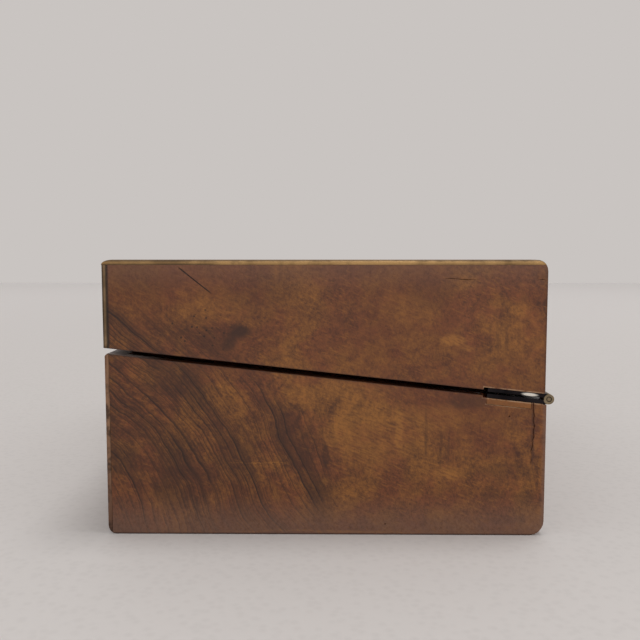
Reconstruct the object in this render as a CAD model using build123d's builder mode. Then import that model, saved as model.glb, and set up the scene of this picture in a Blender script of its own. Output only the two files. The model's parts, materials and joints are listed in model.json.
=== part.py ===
from build123d import *
from math import cos, radians, sin, tan
import os

# A folding writing box: a veneered box cut on a slant, hinged at half its height at the rear.
# Opened flat, its two rims make one sloping desk. The frame is in millimetres: X runs across the
# width, -Y is the lock side and +Y the hinge side, +Z is up. The origin is on the ground under the
# middle of the base. The lid is modelled shut.

# ---- overall sizes ---------------------------------------------------------------------------
WIDTH = 350.0
DEPTH = 238.0
HEIGHT = 150.0
SLOPE = 6.2  # degrees, the slant of the cut
RIM_GAP = 3.1  # between the two rims when the lid rests on its lock and hinges
AXIS_BEHIND = 1.5  # the hinge line stands this far behind the rear face
LID_FORWARD = 0.8  # the worn hinges let the lid sit this far forward

# ---- boards and veneer -----------------------------------------------------------------------
VENEER = 1.0
FRONT_BOARD = 9.0
REAR_BOARD = 5.5
END_BOARD = 8.0
FLOOR_BOARD = 6.0
TOP_BOARD = 6.0
BEAD = 2.4  # square wooden bead down each front corner of the base
BRASS = 2.8  # square brass edging of the lid
BRASS_ROUND = 1.2
FRONT_FOOT_ROUND = 4.5
REAR_FOOT_ROUND = 8.0
LID_FRONT_ROUND = 2.2
LID_REAR_ROUND = 3.0
RIM_REAR_CHAMFER = 1.6
RIM_FRONT_ROUND = 1.2

# ---- main hinges -----------------------------------------------------------------------------
LEAF_THICK = 2.2
LEAF_OFFSET = 0.6  # from the cut's middle plane to each leaf's inner face
LEAF_LENGTH = 33.4  # from the hinge line towards the lock side
LEAF_INSET = 0.6  # the leaf's edge lies this far inside the end face
NOTCH_EXTRA = 2.4
BARREL_PLAY = 0.35  # the notches are this much deeper round the barrels
BARREL_R = 2.75
PIN_R = 1.2
KNUCKLE = 2.6
RUNNING = 0.06
PATCH_NEAR = 9.1
PATCH_DEEP = 3.4

# ---- age: cracks, a scratch and pin holes in the right-hand veneers ------------------------------
# Each crack is a run of points, measured from the hinge line forwards and up, with its width there.
BASE_CRACK = (
    (8.4, 0.5, 0.7),
    (8.6, -5.6, 0.6),
    (7.9, -8.8, 0.7),
    (8.5, -11.6, 0.45),
    (7.6, -14.4, 0.65),
    (8.3, -17.2, 0.5),
    (7.8, -20.4, 0.6),
    (8.8, -22.6, 0.4),
    (8.3, -25.4, 0.45),
    (9.5, -28.3, 0.25),
)
BASE_CRACK_END = ((9.3, -31.2, 0.1), (9.0, -33.4, 0.35), (9.4, -35.8, 0.1))
LID_CRACKS = (
    ((57.4, 64.9, 0.1), (53.6, 65.1, 0.35), (50.2, 64.7, 0.1)),
    ((49.2, 64.5, 0.1), (44.8, 64.3, 0.3), (40.2, 64.4, 0.1)),
    ((7.6, 64.1, 0.1), (5.2, 64.6, 0.35), (2.8, 63.9, 0.1)),
)
LID_SCRATCH = ((199.4, 71.4, 0.15), (196.6, 69.4, 0.55), (190.2, 63.8, 0.4), (180.4, 55.8, 0.1))
LID_SCRATCH_DEEP = 0.35
PIN_HOLE_R = 0.45
PIN_HOLES = ((87.8, -69.0), (21.3, -9.3))

# ---- screws ----------------------------------------------------------------------------------
SCREW_HEAD_R = 1.9
SCREW_SHANK_R = 0.9
SCREW_LENGTH = 8.0
SCREW_HEAD_DEEP = 1.0
SCREW_PLAY = 0.05
SCREW_SLOT = (0.45, 0.4)  # wide, deep
HINGE_SCREWS = (11.5, 19.5, 27.5)  # distances from the hinge line

# ---- writing flaps ---------------------------------------------------------------------------
FLAP_THICK = 6.0
FLAP_DROP = 0.5  # below its rim
FLAP_SIDE_PLAY = 0.6
FLAP_NOSE_PLAY = 0.5
FLAP_END_PLAY = 1.2
LEATHER = 0.8
LEATHER_BORDER = 20.0
FLAP_PIN_R = 1.25
FLAP_PIN_LENGTH = 9.0
FLAP_PIN_IN_BOARD = 2.5
LEDGE_WIDE = 4.0
LEDGE_THICK = 4.0
TAB_WIDE = 16.0
TAB_ON_BOARD = 13.0
TAB_OVERHANG = 9.0  # of the tab at the pen section
TAB_THICK = 0.7
TAB_CORNER = 3.0

# ---- pen section and what lies under it ------------------------------------------------------
PEN_SECTION = 46.0
PARTITION = 4.0
PEN_DEPTH = 47.4  # from the base's rim at the partition down to the pen section's floor
PEN_FLOOR_THICK = 4.0
WELL_WIDE = 42.0
DIVIDER = 3.0
DIVIDER_BELOW_RIM = 3.5
TRAY_BELOW_RIM = 8.4
TRAY_THICK = 14.0
TRAY_PLAY = 0.3
TRAY_REST = 4.0
TRAY_SCOOP_DEEP = 10.0
TRAY_EDGE = 2.2  # left along both sides of the scoop
TRAY_SCOOP_END = 3.0  # left at each end of it
NIB_LID_BELOW_RIM = 7.4
NIB_LID_THICK = 3.0
NIB_LID_PLAY = 0.3
NIB_PIN_R = 0.8
NIB_PIN_REACH = 1.6
NIB_KNOB_R = 2.4
NIB_KNOB_PROUD = 0.6
NIB_KNOB_IN = 8.0

INKWELL_PLAY = 2.5  # round each glass
INKWELL_TALL = 30.0
INKWELL_BORE_R = 9.5
INKWELL_BASE = 6.0
INKWELL_CORNER = 5.0
INKWELL_SHOULDER = 3.5
COLLAR_R = 12.6
COLLAR_TALL = 3.2
CAP_R = 12.0
CAP_TALL = 6.5
CAP_WALL = 1.4
CAP_GAP = 0.15
CAP_ROUND = 4.5
CAP_HINGE_R = 1.3
CAP_HINGE_OUT = 1.2  # from the collar's rim to the cap's hinge line
CAP_HINGE_WIDE = 8.0
CAP_KNUCKLE = 3.4
CAP_KNUCKLE_GAP = 0.3
CAP_PIN_R = 0.6
CAP_LUG_THICK = 1.6

DRAWER_COUNT = 2
RAIL = 4.0
DRAWER_PLAY = 0.5
DRAWER_TO_PANEL = 6.1  # room for the knobs
DRAWER_WALL = 3.0
DRAWER_FLOOR = 2.5
DRAWER_LIFT = 0.1
DRAWER_KNOB_R = 2.6
DRAWER_KNOB_PROUD = 1.0
PANEL_THICK = 3.0
PANEL_PLAY = 0.4
PANEL_LIFT = 0.1
SPRING_INSET = 0.4  # narrower than its rail on each side
SPRING_THICK = 0.5
SPRING_BOW = 3.4
SPRING_GAP = 0.6
SPRING_MARGIN = 7.0  # above and below the spring
SPRING_FOOT = 1.8

# ---- lock ------------------------------------------------------------------------------------
LOCK_CASE = (46.0, 7.0, 22.0)
LOCK_WALL = 0.9
LOCK_SCREW_IN = 4.5
LOCK_PLATE = (64.0, 6.2)  # the plate let into the rim, across and front to back
LOCK_PLATE_SUNK = 0.5
PLATES_APART = 0.1
STAPLE_SPACING = 20.0
STAPLE = (2.6, 3.3, 9.0)
STAPLE_HOLE = (1.9, 3.6)
STAPLE_PLAY = 0.7
BOLT_THICK = 1.4
BOLT_FINGER = (8.0, 3.0)  # long, tall
BOLT_UPRIGHT = 2.5
BOLT_BAR = 4.5
BOLT_NOTCH = (5.0, 2.0)  # where the key's bit takes hold
BOLT_GUIDE_FROM = 9.0
BOLT_GUIDE_THICK = 1.5
KEYHOLE_R = 2.0
KEYHOLE_SLOT = (1.8, 6.5)
KEYHOLE_BELOW = 13.0
ESCUTCHEON = (15.0, 21.0)
CARTOUCHE = (70.0, 36.0)
CARTOUCHE_CORNER = 6.0

# ---- worked out from the sizes above ----------------------------------------------------------
PLAY = 0.05
SLANT = radians(SLOPE)
AXIS_Y = DEPTH / 2 + AXIS_BEHIND
AXIS_Z = HEIGHT / 2
SLOPE_PLANE = Plane(
    origin=(0, AXIS_Y, AXIS_Z), x_dir=(1, 0, 0), z_dir=(0, sin(SLANT), cos(SLANT))
)
RIM = RIM_GAP / 2
HALF = WIDTH / 2
SKIN = HALF - VENEER  # the end boards' outer face
INSIDE = SKIN - END_BOARD  # the end boards' inner face
BASE_FRONT = -DEPTH / 2
BASE_REAR = DEPTH / 2
LID_FRONT = BASE_FRONT - LID_FORWARD
LID_REAR = BASE_REAR - LID_FORWARD
FRONT_IN = BASE_FRONT + VENEER + FRONT_BOARD
REAR_IN = BASE_REAR - VENEER - REAR_BOARD
LID_FRONT_IN = LID_FRONT + VENEER + FRONT_BOARD
LID_REAR_IN = LID_REAR - VENEER - REAR_BOARD
PARTITION_FRONT = FRONT_IN + PEN_SECTION
PARTITION_REAR = PARTITION_FRONT + PARTITION
RIM_AT_PARTITION = AXIS_Z + (AXIS_Y - PARTITION_FRONT) * tan(SLANT) - RIM / cos(SLANT)
PEN_TOP_Z = RIM_AT_PARTITION - PEN_DEPTH
PEN_FLOOR_Z = PEN_TOP_Z - PEN_FLOOR_THICK
TRAY_TOP = RIM_AT_PARTITION - TRAY_BELOW_RIM
NIB_LID_TOP = RIM_AT_PARTITION - NIB_LID_BELOW_RIM
LEAF_OUT = LEAF_OFFSET + LEAF_THICK
NOTCH_LENGTH = LEAF_LENGTH + NOTCH_EXTRA
FLAP_NEAR = RIM + FLAP_DROP
FLAP_FAR = FLAP_NEAR + FLAP_THICK
FLAP_MID = FLAP_NEAR + FLAP_THICK / 2
FLAP_HALF = INSIDE - FLAP_SIDE_PLAY


def slope_yz(s, n):
    """The point s up the slant from the hinge line towards the lock side, and n square to it."""
    return (AXIS_Y - s * cos(SLANT) + n * sin(SLANT), AXIS_Z + s * sin(SLANT) + n * cos(SLANT))


def plane_z(y, n):
    """The height at y of the plane that lies n above the cut's middle plane."""
    return AXIS_Z + (AXIS_Y - y) * tan(SLANT) + n / cos(SLANT)


def slope_s(y, n):
    """How far up the slant the point at y and n is."""
    return (AXIS_Y - y + n * sin(SLANT)) / cos(SLANT)


def block(x, y, z, mode=Mode.ADD):
    """A box between the two values of each pair."""
    with Locations(((x[0] + x[1]) / 2, (y[0] + y[1]) / 2, (z[0] + z[1]) / 2)):
        Box(x[1] - x[0], y[1] - y[0], z[1] - z[0], mode=mode)


def slope_block(x, s, n, mode=Mode.ADD):
    """A box that lies along the slant."""
    with BuildSketch(SLOPE_PLANE.offset(n[0])) as plan:
        with Locations(((x[0] + x[1]) / 2, -(s[0] + s[1]) / 2)):
            Rectangle(x[1] - x[0], s[1] - s[0])
    extrude(plan.sketch, amount=n[1] - n[0], mode=mode)


def x_rod(y, z, radius, x, mode=Mode.ADD):
    """A round rod along X."""
    with Locations(((x[0] + x[1]) / 2, y, z)):
        Cylinder(radius, x[1] - x[0], rotation=(0, 90, 0), mode=mode)


def on_side(side, low, high):
    """The x range from low to high on the right (side 1) or on the left (side -1)."""
    return (low, high) if side > 0 else (-high, -low)


def corner(outline, y, z):
    """The corner of a YZ outline nearest to a point."""
    return outline.vertices().sort_by_distance((y, z, 0))[0]


def save(piece, name):
    piece.part.label = name
    export_step(piece.part, f"parts/{name}.step")


os.makedirs("parts", exist_ok=True)

# ---- the two outlines, seen from the end -------------------------------------------------------
with BuildSketch(Plane.YZ) as base_outline:
    front_rim = (BASE_FRONT, plane_z(BASE_FRONT, -RIM))
    rear_rim = (BASE_REAR, plane_z(BASE_REAR, -RIM))
    with BuildLine():
        Polyline((BASE_FRONT, 0), (BASE_REAR, 0), rear_rim, front_rim, close=True)
    make_face()
    fillet(corner(base_outline, BASE_FRONT, 0), FRONT_FOOT_ROUND)
    fillet(corner(base_outline, BASE_REAR, 0), REAR_FOOT_ROUND)
    fillet(corner(base_outline, *front_rim), RIM_FRONT_ROUND)
    chamfer(corner(base_outline, *rear_rim), RIM_REAR_CHAMFER)

with BuildSketch(Plane.YZ) as lid_outline:
    front_rim = (LID_FRONT, plane_z(LID_FRONT, RIM))
    rear_rim = (LID_REAR, plane_z(LID_REAR, RIM))
    with BuildLine():
        Polyline(front_rim, rear_rim, (LID_REAR, HEIGHT), (LID_FRONT, HEIGHT), close=True)
    make_face()
    fillet(corner(lid_outline, LID_FRONT, HEIGHT), LID_FRONT_ROUND)
    fillet(corner(lid_outline, LID_REAR, HEIGHT), LID_REAR_ROUND)
    chamfer(corner(lid_outline, *rear_rim), RIM_REAR_CHAMFER)


def cut_from(outline, x, y, z):
    """The part of a case's outer form that lies in a box."""
    extrude(outline.sketch, amount=HALF, both=True)
    block(x, y, z, mode=Mode.INTERSECT)


def hinge_notches(way):
    """Both hinges' recesses, open at the end faces and at the rear. way is -1 in the base."""
    leaf_n = tuple(sorted((0, way * LEAF_OUT)))
    barrel_n = tuple(sorted((0, way * (LEAF_OUT + BARREL_PLAY))))
    for side in (1, -1):
        x = on_side(side, INSIDE, HALF + VENEER)
        slope_block(x, (-AXIS_BEHIND * 3, NOTCH_LENGTH), leaf_n, Mode.SUBTRACT)
        slope_block(x, (-AXIS_BEHIND * 3, BARREL_R + BARREL_PLAY), barrel_n, Mode.SUBTRACT)


def screw_holes(places, x_middle, n_face, way):
    """Pilot holes square to the slant. way is -1 down into the base or 1 up into the lid."""
    for s in places:
        with Locations(SLOPE_PLANE * Pos(x_middle, -s, n_face + way * SCREW_LENGTH / 2)):
            Cylinder(SCREW_SHANK_R + SCREW_PLAY, SCREW_LENGTH, mode=Mode.SUBTRACT)


def screw(x_middle, s, n_head, way):
    """A countersunk wood screw whose head lies flush with n_head."""
    with Locations(SLOPE_PLANE * Pos(x_middle, -s, n_head) * Rot(0 if way < 0 else 180, 0, 0)):
        with Locations((0, 0, -SCREW_HEAD_DEEP / 2)):
            Cone(SCREW_SHANK_R, SCREW_HEAD_R, SCREW_HEAD_DEEP)
        with Locations((0, 0, -SCREW_LENGTH / 2)):
            Cylinder(SCREW_SHANK_R, SCREW_LENGTH - SCREW_PLAY * 2)
        with Locations((0, 0, 0)):
            Box(SCREW_HEAD_R * 2, SCREW_SLOT[0], SCREW_SLOT[1] * 2, mode=Mode.SUBTRACT)


LOCK_Y = (FRONT_IN - LOCK_CASE[1], FRONT_IN)
LOCK_MID_Y = (LOCK_Y[0] + LOCK_Y[1]) / 2
LOCK_S = slope_s(LOCK_MID_Y, -STAPLE[2] / 2)  # the staples lean with the slant
LOCK_TOP = plane_z(LOCK_Y[1], -RIM - LOCK_PLATE_SUNK)
KEYHOLE_Z = LOCK_TOP - KEYHOLE_BELOW
LEAF_MID_X = HALF - LEAF_INSET - (END_BOARD + VENEER - LEAF_INSET) / 2
LOCK_SCREW_X = LOCK_PLATE[0] / 2 - LOCK_SCREW_IN


def lock_plate_recess(n):
    """The shallow recess in a rim for the lock plate or the link plate."""
    slope_block(
        (-LOCK_PLATE[0] / 2, LOCK_PLATE[0] / 2),
        (LOCK_S - LOCK_PLATE[1] / 2, LOCK_S + LOCK_PLATE[1] / 2),
        n,
        Mode.SUBTRACT,
    )


def keyhole(y, mode=Mode.SUBTRACT):
    """A keyhole through whatever lies between two values of y."""
    with BuildSketch(Plane.XZ.offset(-y[1])) as shape:
        with Locations((0, KEYHOLE_Z)):
            Circle(KEYHOLE_R)
        with Locations((0, KEYHOLE_Z - KEYHOLE_SLOT[1] / 2)):
            Rectangle(*KEYHOLE_SLOT)
    extrude(shape.sketch, amount=y[1] - y[0], mode=mode)


def bead_rebates():
    """The rebates down the base's two front corners for the beads."""
    for side in (1, -1):
        block(
            on_side(side, HALF - BEAD, HALF + 1),
            (BASE_FRONT - 1, BASE_FRONT + BEAD),
            (-1, HEIGHT),
            Mode.SUBTRACT,
        )


def crack(points, depth, across):
    """A jagged opening cut into the right-hand end from its outer face: see the lists of points.

    across is the (y, z) direction that its widths are measured in.
    """
    sides = []
    for way in (-1, 1):
        sides.append(
            [
                (AXIS_Y - s + way * across[0] * width / 2, AXIS_Z + up + way * across[1] * width / 2)
                for s, up, width in points
            ]
        )
    with BuildSketch(Plane.YZ.offset(HALF - depth)) as shape:
        with BuildLine():
            Polyline(*sides[0], *reversed(sides[1]), close=True)
        make_face()
    extrude(shape.sketch, amount=depth, mode=Mode.SUBTRACT)


# ---- base: boards ------------------------------------------------------------------------------
def base_boards():
    with BuildPart() as floor_board:
        cut_from(
            base_outline, (-SKIN, SKIN), (BASE_FRONT + VENEER, BASE_REAR - VENEER), (0, FLOOR_BOARD)
        )
        bead_rebates()
    save(floor_board, "base_bottom")

    with BuildPart() as front:
        cut_from(base_outline, (-SKIN, SKIN), (BASE_FRONT + VENEER, FRONT_IN), (FLOOR_BOARD, HEIGHT))
        bead_rebates()
        half_case = LOCK_CASE[0] / 2 + PLAY
        block(
            (-half_case, half_case),
            (LOCK_Y[0] - PLAY, LOCK_Y[1] + VENEER),
            (LOCK_TOP - LOCK_CASE[2] - PLAY, HEIGHT),
            Mode.SUBTRACT,
        )
        lock_plate_recess((-RIM - LOCK_PLATE_SUNK, 0))
        keyhole((BASE_FRONT, FRONT_IN))
        for side in (1, -1):
            screw_holes((LOCK_S,), side * LOCK_SCREW_X, -RIM - LOCK_PLATE_SUNK, -1)
    save(front, "base_front_board")

    with BuildPart() as rear:
        cut_from(base_outline, (-SKIN, SKIN), (REAR_IN, BASE_REAR - VENEER), (FLOOR_BOARD, HEIGHT))
        hinge_notches(-1)
    save(rear, "base_rear_board")

    for side, name in ((1, "base_right_board"), (-1, "base_left_board")):
        with BuildPart() as end:
            cut_from(
                base_outline, on_side(side, INSIDE, SKIN), (FRONT_IN, REAR_IN), (FLOOR_BOARD, HEIGHT)
            )
            hinge_notches(-1)
            screw_holes(HINGE_SCREWS, side * LEAF_MID_X, -LEAF_OUT, -1)
            x_rod(
                *slope_yz(BASE_FLAP_S, -FLAP_MID),
                FLAP_PIN_R,
                on_side(side, 0, INSIDE + FLAP_PIN_IN_BOARD),
                Mode.SUBTRACT,
            )
        save(end, name)


def base_veneers():
    with BuildPart() as front:
        cut_from(
            base_outline,
            (-HALF + BEAD, HALF - BEAD),
            (BASE_FRONT, BASE_FRONT + VENEER),
            (0, HEIGHT),
        )
        escutcheon_shape((BASE_FRONT - VENEER, BASE_FRONT + VENEER), Mode.SUBTRACT)
    save(front, "base_front_veneer")

    with BuildPart() as rear:
        cut_from(base_outline, (-SKIN, SKIN), (BASE_REAR - VENEER, BASE_REAR), (0, HEIGHT))
        hinge_notches(-1)
    save(rear, "base_rear_veneer")

    for side, name in ((1, "base_right_veneer"), (-1, "base_left_veneer")):
        with BuildPart() as end:
            cut_from(
                base_outline, on_side(side, SKIN, HALF), (BASE_FRONT, BASE_REAR), (0, HEIGHT)
            )
            hinge_notches(-1)
            bead_rebates()
            if side > 0:
                patch_shape(Mode.SUBTRACT)
                crack(BASE_CRACK, VENEER, across=(1, 0))
                crack(BASE_CRACK_END, VENEER, across=(1, 0))
                for forwards, up in PIN_HOLES:
                    hole = (AXIS_Y - forwards, AXIS_Z + up)
                    x_rod(*hole, PIN_HOLE_R, (SKIN, HALF), Mode.SUBTRACT)
        save(end, name)

    with BuildPart() as beads:
        extrude(base_outline.sketch, amount=HALF, both=True)
        with Locations((0, BASE_FRONT + BEAD / 2, HEIGHT / 2)):
            Box(WIDTH, BEAD, HEIGHT, mode=Mode.INTERSECT)
        block((-HALF + BEAD, HALF - BEAD), (BASE_FRONT, 0), (0, HEIGHT), Mode.SUBTRACT)
    save(beads, "base_corner_beads")

    with BuildPart() as patch:
        patch_shape(Mode.ADD)
    save(patch, "veneer_patch")


def patch_shape(mode):
    """The slip of veneer let in below the right-hand hinge."""
    slope_block(
        (SKIN, HALF), (PATCH_NEAR, LEAF_LENGTH), (-LEAF_OUT - PATCH_DEEP, -LEAF_OUT), mode
    )


def escutcheon_shape(y, mode):
    with BuildSketch(Plane.XZ.offset(-y[1])) as shape:
        with Locations((0, KEYHOLE_Z - KEYHOLE_SLOT[1] / 4)):
            Ellipse(ESCUTCHEON[0] / 2, ESCUTCHEON[1] / 2)
    extrude(shape.sketch, amount=y[1] - y[0], mode=mode)


def escutcheon():
    with BuildPart() as plate:
        escutcheon_shape((BASE_FRONT, BASE_FRONT + VENEER), Mode.ADD)
        keyhole((BASE_FRONT, BASE_FRONT + VENEER))
    save(plate, "escutcheon")


# ---- main hinges -------------------------------------------------------------------------------
def knuckles(side):
    """The x ranges of the two outer knuckles and of the middle one, from the end face inwards."""
    outer = HALF - LEAF_INSET
    inner = INSIDE
    near = on_side(side, outer - KNUCKLE, outer)
    far = on_side(side, inner, inner + KNUCKLE)
    middle = on_side(side, inner + KNUCKLE + RUNNING * 2, outer - KNUCKLE - RUNNING * 2)
    return near, far, middle


def hinge_leaf(side, way, own, others, bore_r):
    """A leaf along the rim with its own knuckles. way is -1 for the base and 1 for the lid."""
    n = (-LEAF_OUT, -LEAF_OFFSET) if way < 0 else (LEAF_OFFSET, LEAF_OUT)
    n_face = way * LEAF_OFFSET
    slope_block(on_side(side, INSIDE, HALF - LEAF_INSET), (0, LEAF_LENGTH), n)
    for x in own:
        x_rod(AXIS_Y, AXIS_Z, BARREL_R, x)
    for x in others:
        reach = (x[0] - RUNNING * 2, x[1] + RUNNING * 2)
        x_rod(AXIS_Y, AXIS_Z, BARREL_R + RUNNING * 3, reach, Mode.SUBTRACT)
    x_rod(AXIS_Y, AXIS_Z, bore_r, on_side(side, INSIDE - 1, HALF + 1), Mode.SUBTRACT)
    for s in HINGE_SCREWS:
        at = SLOPE_PLANE * Pos(side * LEAF_MID_X, -s, n_face) * Rot(0 if way < 0 else 180, 0, 0)
        with Locations(at):
            with Locations((0, 0, -SCREW_HEAD_DEEP / 2)):
                Cone(
                    SCREW_SHANK_R + SCREW_PLAY,
                    SCREW_HEAD_R + SCREW_PLAY,
                    SCREW_HEAD_DEEP,
                    mode=Mode.SUBTRACT,
                )
            with Locations((0, 0, -LEAF_THICK / 2)):
                Cylinder(SCREW_SHANK_R + SCREW_PLAY, LEAF_THICK * 1.2, mode=Mode.SUBTRACT)


def hinges():
    for side, hand in ((1, "right"), (-1, "left")):
        near, far, middle = knuckles(side)
        with BuildPart() as base_leaf:
            hinge_leaf(side, -1, (near, far), (middle,), PIN_R)
        save(base_leaf, f"base_{hand}_hinge_leaf")
        with BuildPart() as lid_leaf:
            hinge_leaf(side, 1, (middle,), (near, far), PIN_R + RUNNING)
        save(lid_leaf, f"lid_{hand}_hinge_leaf")

    with BuildPart() as pins:
        for side in (1, -1):
            x_rod(AXIS_Y, AXIS_Z, PIN_R, on_side(side, INSIDE, HALF - LEAF_INSET))
    save(pins, "hinge_pins")

    for way, name in ((-1, "base_screws"), (1, "lid_screws")):
        with BuildPart() as screws:
            for side in (1, -1):
                for s in HINGE_SCREWS:
                    screw(side * LEAF_MID_X, s, way * LEAF_OFFSET, way)
                screw(side * LOCK_SCREW_X, LOCK_S, way * PLATES_APART / 2, way)
        save(screws, name)


# ---- lock --------------------------------------------------------------------------------------
def staple_places():
    return (-STAPLE_SPACING / 2, STAPLE_SPACING / 2)


def staple_n():
    """The lowest point of a staple, below the cut's middle plane."""
    return PLATES_APART / 2 - STAPLE[2]


def bolt_bar_z():
    """The bolt's bar lies just under the staples."""
    top = slope_yz(LOCK_S, staple_n())[1] - STAPLE_PLAY
    return top - BOLT_BAR, top


def lock_plate_screw_hole(way):
    for side in (1, -1):
        face = way * PLATES_APART / 2
        at = SLOPE_PLANE * Pos(side * LOCK_SCREW_X, -LOCK_S, face) * Rot(0 if way < 0 else 180, 0, 0)
        with Locations(at):
            with Locations((0, 0, -SCREW_HEAD_DEEP / 2)):
                Cone(
                    SCREW_SHANK_R + SCREW_PLAY,
                    SCREW_HEAD_R + SCREW_PLAY,
                    SCREW_HEAD_DEEP,
                    mode=Mode.SUBTRACT,
                )
            with Locations((0, 0, -RIM)):
                Cylinder(SCREW_SHANK_R + SCREW_PLAY, RIM * 3, mode=Mode.SUBTRACT)


def lock():
    plate_s = (LOCK_S - LOCK_PLATE[1] / 2, LOCK_S + LOCK_PLATE[1] / 2)
    plate_x = (-LOCK_PLATE[0] / 2, LOCK_PLATE[0] / 2)
    sunk = RIM + LOCK_PLATE_SUNK
    half_x = LOCK_CASE[0] / 2
    floor_z = LOCK_TOP - LOCK_CASE[2]
    with BuildPart() as case:
        with BuildSketch(Plane.YZ) as side_view:
            with BuildLine():
                Polyline(
                    (LOCK_Y[0], floor_z),
                    (LOCK_Y[1], floor_z),
                    (LOCK_Y[1], plane_z(LOCK_Y[1], -sunk)),
                    (LOCK_Y[0], plane_z(LOCK_Y[0], -sunk)),
                    close=True,
                )
            make_face()
        extrude(side_view.sketch, amount=half_x, both=True)
        slope_block(plate_x, plate_s, (-sunk, -PLATES_APART / 2))
        block(
            (-half_x + LOCK_WALL, half_x - LOCK_WALL),
            (LOCK_Y[0] + LOCK_WALL, LOCK_Y[1] - LOCK_WALL),
            (floor_z + LOCK_WALL, LOCK_TOP - LOCK_WALL),
            Mode.SUBTRACT,
        )
        for x in staple_places():
            slope_block(
                (x - STAPLE[0] / 2 - STAPLE_PLAY, x + STAPLE[0] / 2 + STAPLE_PLAY),
                (LOCK_S - STAPLE[1] / 2 - STAPLE_PLAY, LOCK_S + STAPLE[1] / 2 + STAPLE_PLAY),
                (-RIM * 4, 0),
                Mode.SUBTRACT,
            )
        keyhole((LOCK_Y[0] - PLAY, LOCK_Y[0] + LOCK_WALL + PLAY))
        lock_plate_screw_hole(-1)
        guide_z = bolt_bar_z()[0] - RUNNING
        for side in (1, -1):
            block(
                on_side(side, BOLT_GUIDE_FROM, half_x),
                (LOCK_Y[0] + LOCK_WALL, LOCK_Y[1] - LOCK_WALL),
                (guide_z - BOLT_GUIDE_THICK, guide_z),
            )
    save(case, "lock_case")

    with BuildPart() as link_plate:
        slope_block(plate_x, plate_s, (PLATES_APART / 2, sunk))
        lock_plate_screw_hole(1)
        for x in staple_places():
            slope_block(
                (x - STAPLE[0] / 2, x + STAPLE[0] / 2),
                (LOCK_S - STAPLE[1] / 2, LOCK_S + STAPLE[1] / 2),
                (staple_n(), PLATES_APART),
            )
            hole_low = staple_n() + (STAPLE[1] - STAPLE_HOLE[0]) / 2
            slope_block(
                (x - STAPLE[0], x + STAPLE[0]),
                (LOCK_S - STAPLE_HOLE[0] / 2, LOCK_S + STAPLE_HOLE[0] / 2),
                (hole_low, hole_low + STAPLE_HOLE[1]),
                Mode.SUBTRACT,
            )
    save(link_plate, "lock_link_plate")

    hole_y, hole_z = slope_yz(
        LOCK_S, staple_n() + (STAPLE[1] - STAPLE_HOLE[0]) / 2 + STAPLE_HOLE[1] / 2
    )
    finger_x = BOLT_FINGER[0]
    bar = bolt_bar_z()
    with BuildPart() as bolt:
        y = (hole_y - BOLT_THICK / 2, hole_y + BOLT_THICK / 2)
        low_x = -STAPLE_SPACING / 2 - STAPLE[0] / 2 - STAPLE_PLAY - finger_x
        block((low_x, low_x + STAPLE_SPACING + finger_x), y, bar)
        finger_z = (hole_z - BOLT_FINGER[1] / 2, hole_z + BOLT_FINGER[1] / 2)
        for x in staple_places():
            tip = x - STAPLE[0] / 2 - STAPLE_PLAY
            block((tip - finger_x, tip), y, finger_z)
            block((tip - finger_x, tip - finger_x + BOLT_UPRIGHT), y, (bar[0], finger_z[1]))
        notch_x = (low_x + STAPLE_SPACING / 2, low_x + STAPLE_SPACING / 2 + BOLT_NOTCH[0])
        block(notch_x, y, (bar[0], bar[0] + BOLT_NOTCH[1]), Mode.SUBTRACT)
    save(bolt, "lock_bolt")


# ---- lid ---------------------------------------------------------------------------------------
TOP_UNDER = HEIGHT - VENEER - TOP_BOARD


def lid_boards():
    rim = plane_z(LID_REAR, RIM) - RIM_GAP
    with BuildPart() as top:
        cut_from(
            lid_outline,
            (-SKIN, SKIN),
            (LID_FRONT + VENEER, LID_REAR - VENEER),
            (TOP_UNDER, HEIGHT - VENEER),
        )
        brass_rebate()
        corner_rebates()
    save(top, "lid_top_board")

    with BuildPart() as front:
        cut_from(lid_outline, (-SKIN, SKIN), (LID_FRONT + VENEER, LID_FRONT_IN), (rim, TOP_UNDER))
        corner_rebates()
        lock_plate_recess((0, RIM + LOCK_PLATE_SUNK))
        for side in (1, -1):
            screw_holes((LOCK_S,), side * LOCK_SCREW_X, RIM + LOCK_PLATE_SUNK, 1)
    save(front, "lid_front_board")

    with BuildPart() as rear:
        cut_from(lid_outline, (-SKIN, SKIN), (LID_REAR_IN, LID_REAR - VENEER), (rim, TOP_UNDER))
        hinge_notches(1)
    save(rear, "lid_rear_board")

    for side, name in ((1, "lid_right_board"), (-1, "lid_left_board")):
        with BuildPart() as end:
            cut_from(
                lid_outline,
                on_side(side, INSIDE, SKIN),
                (LID_FRONT_IN, LID_REAR_IN),
                (rim, TOP_UNDER),
            )
            hinge_notches(1)
            screw_holes(HINGE_SCREWS, side * LEAF_MID_X, LEAF_OUT, 1)
            x_rod(
                *slope_yz(LID_FLAP_S, FLAP_MID),
                FLAP_PIN_R,
                on_side(side, 0, INSIDE + FLAP_PIN_IN_BOARD),
                Mode.SUBTRACT,
            )
        save(end, name)


def brass_rebate():
    """The rebate round the top for the brass edging."""
    over = (HEIGHT - BRASS, HEIGHT + 1)
    for side in (1, -1):
        block(on_side(side, HALF - BRASS, HALF + 1), (-DEPTH, DEPTH), over, Mode.SUBTRACT)
    block((-WIDTH, WIDTH), (LID_FRONT - 1, LID_FRONT + BRASS), over, Mode.SUBTRACT)
    block((-WIDTH, WIDTH), (LID_REAR - BRASS, LID_REAR + 1), over, Mode.SUBTRACT)


def corner_rebates():
    """The rebates down the two front corners for the brass strips."""
    for side in (1, -1):
        block(
            on_side(side, HALF - BRASS, HALF + 1),
            (LID_FRONT - 1, LID_FRONT + BRASS),
            (0, HEIGHT + 1),
            Mode.SUBTRACT,
        )


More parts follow.
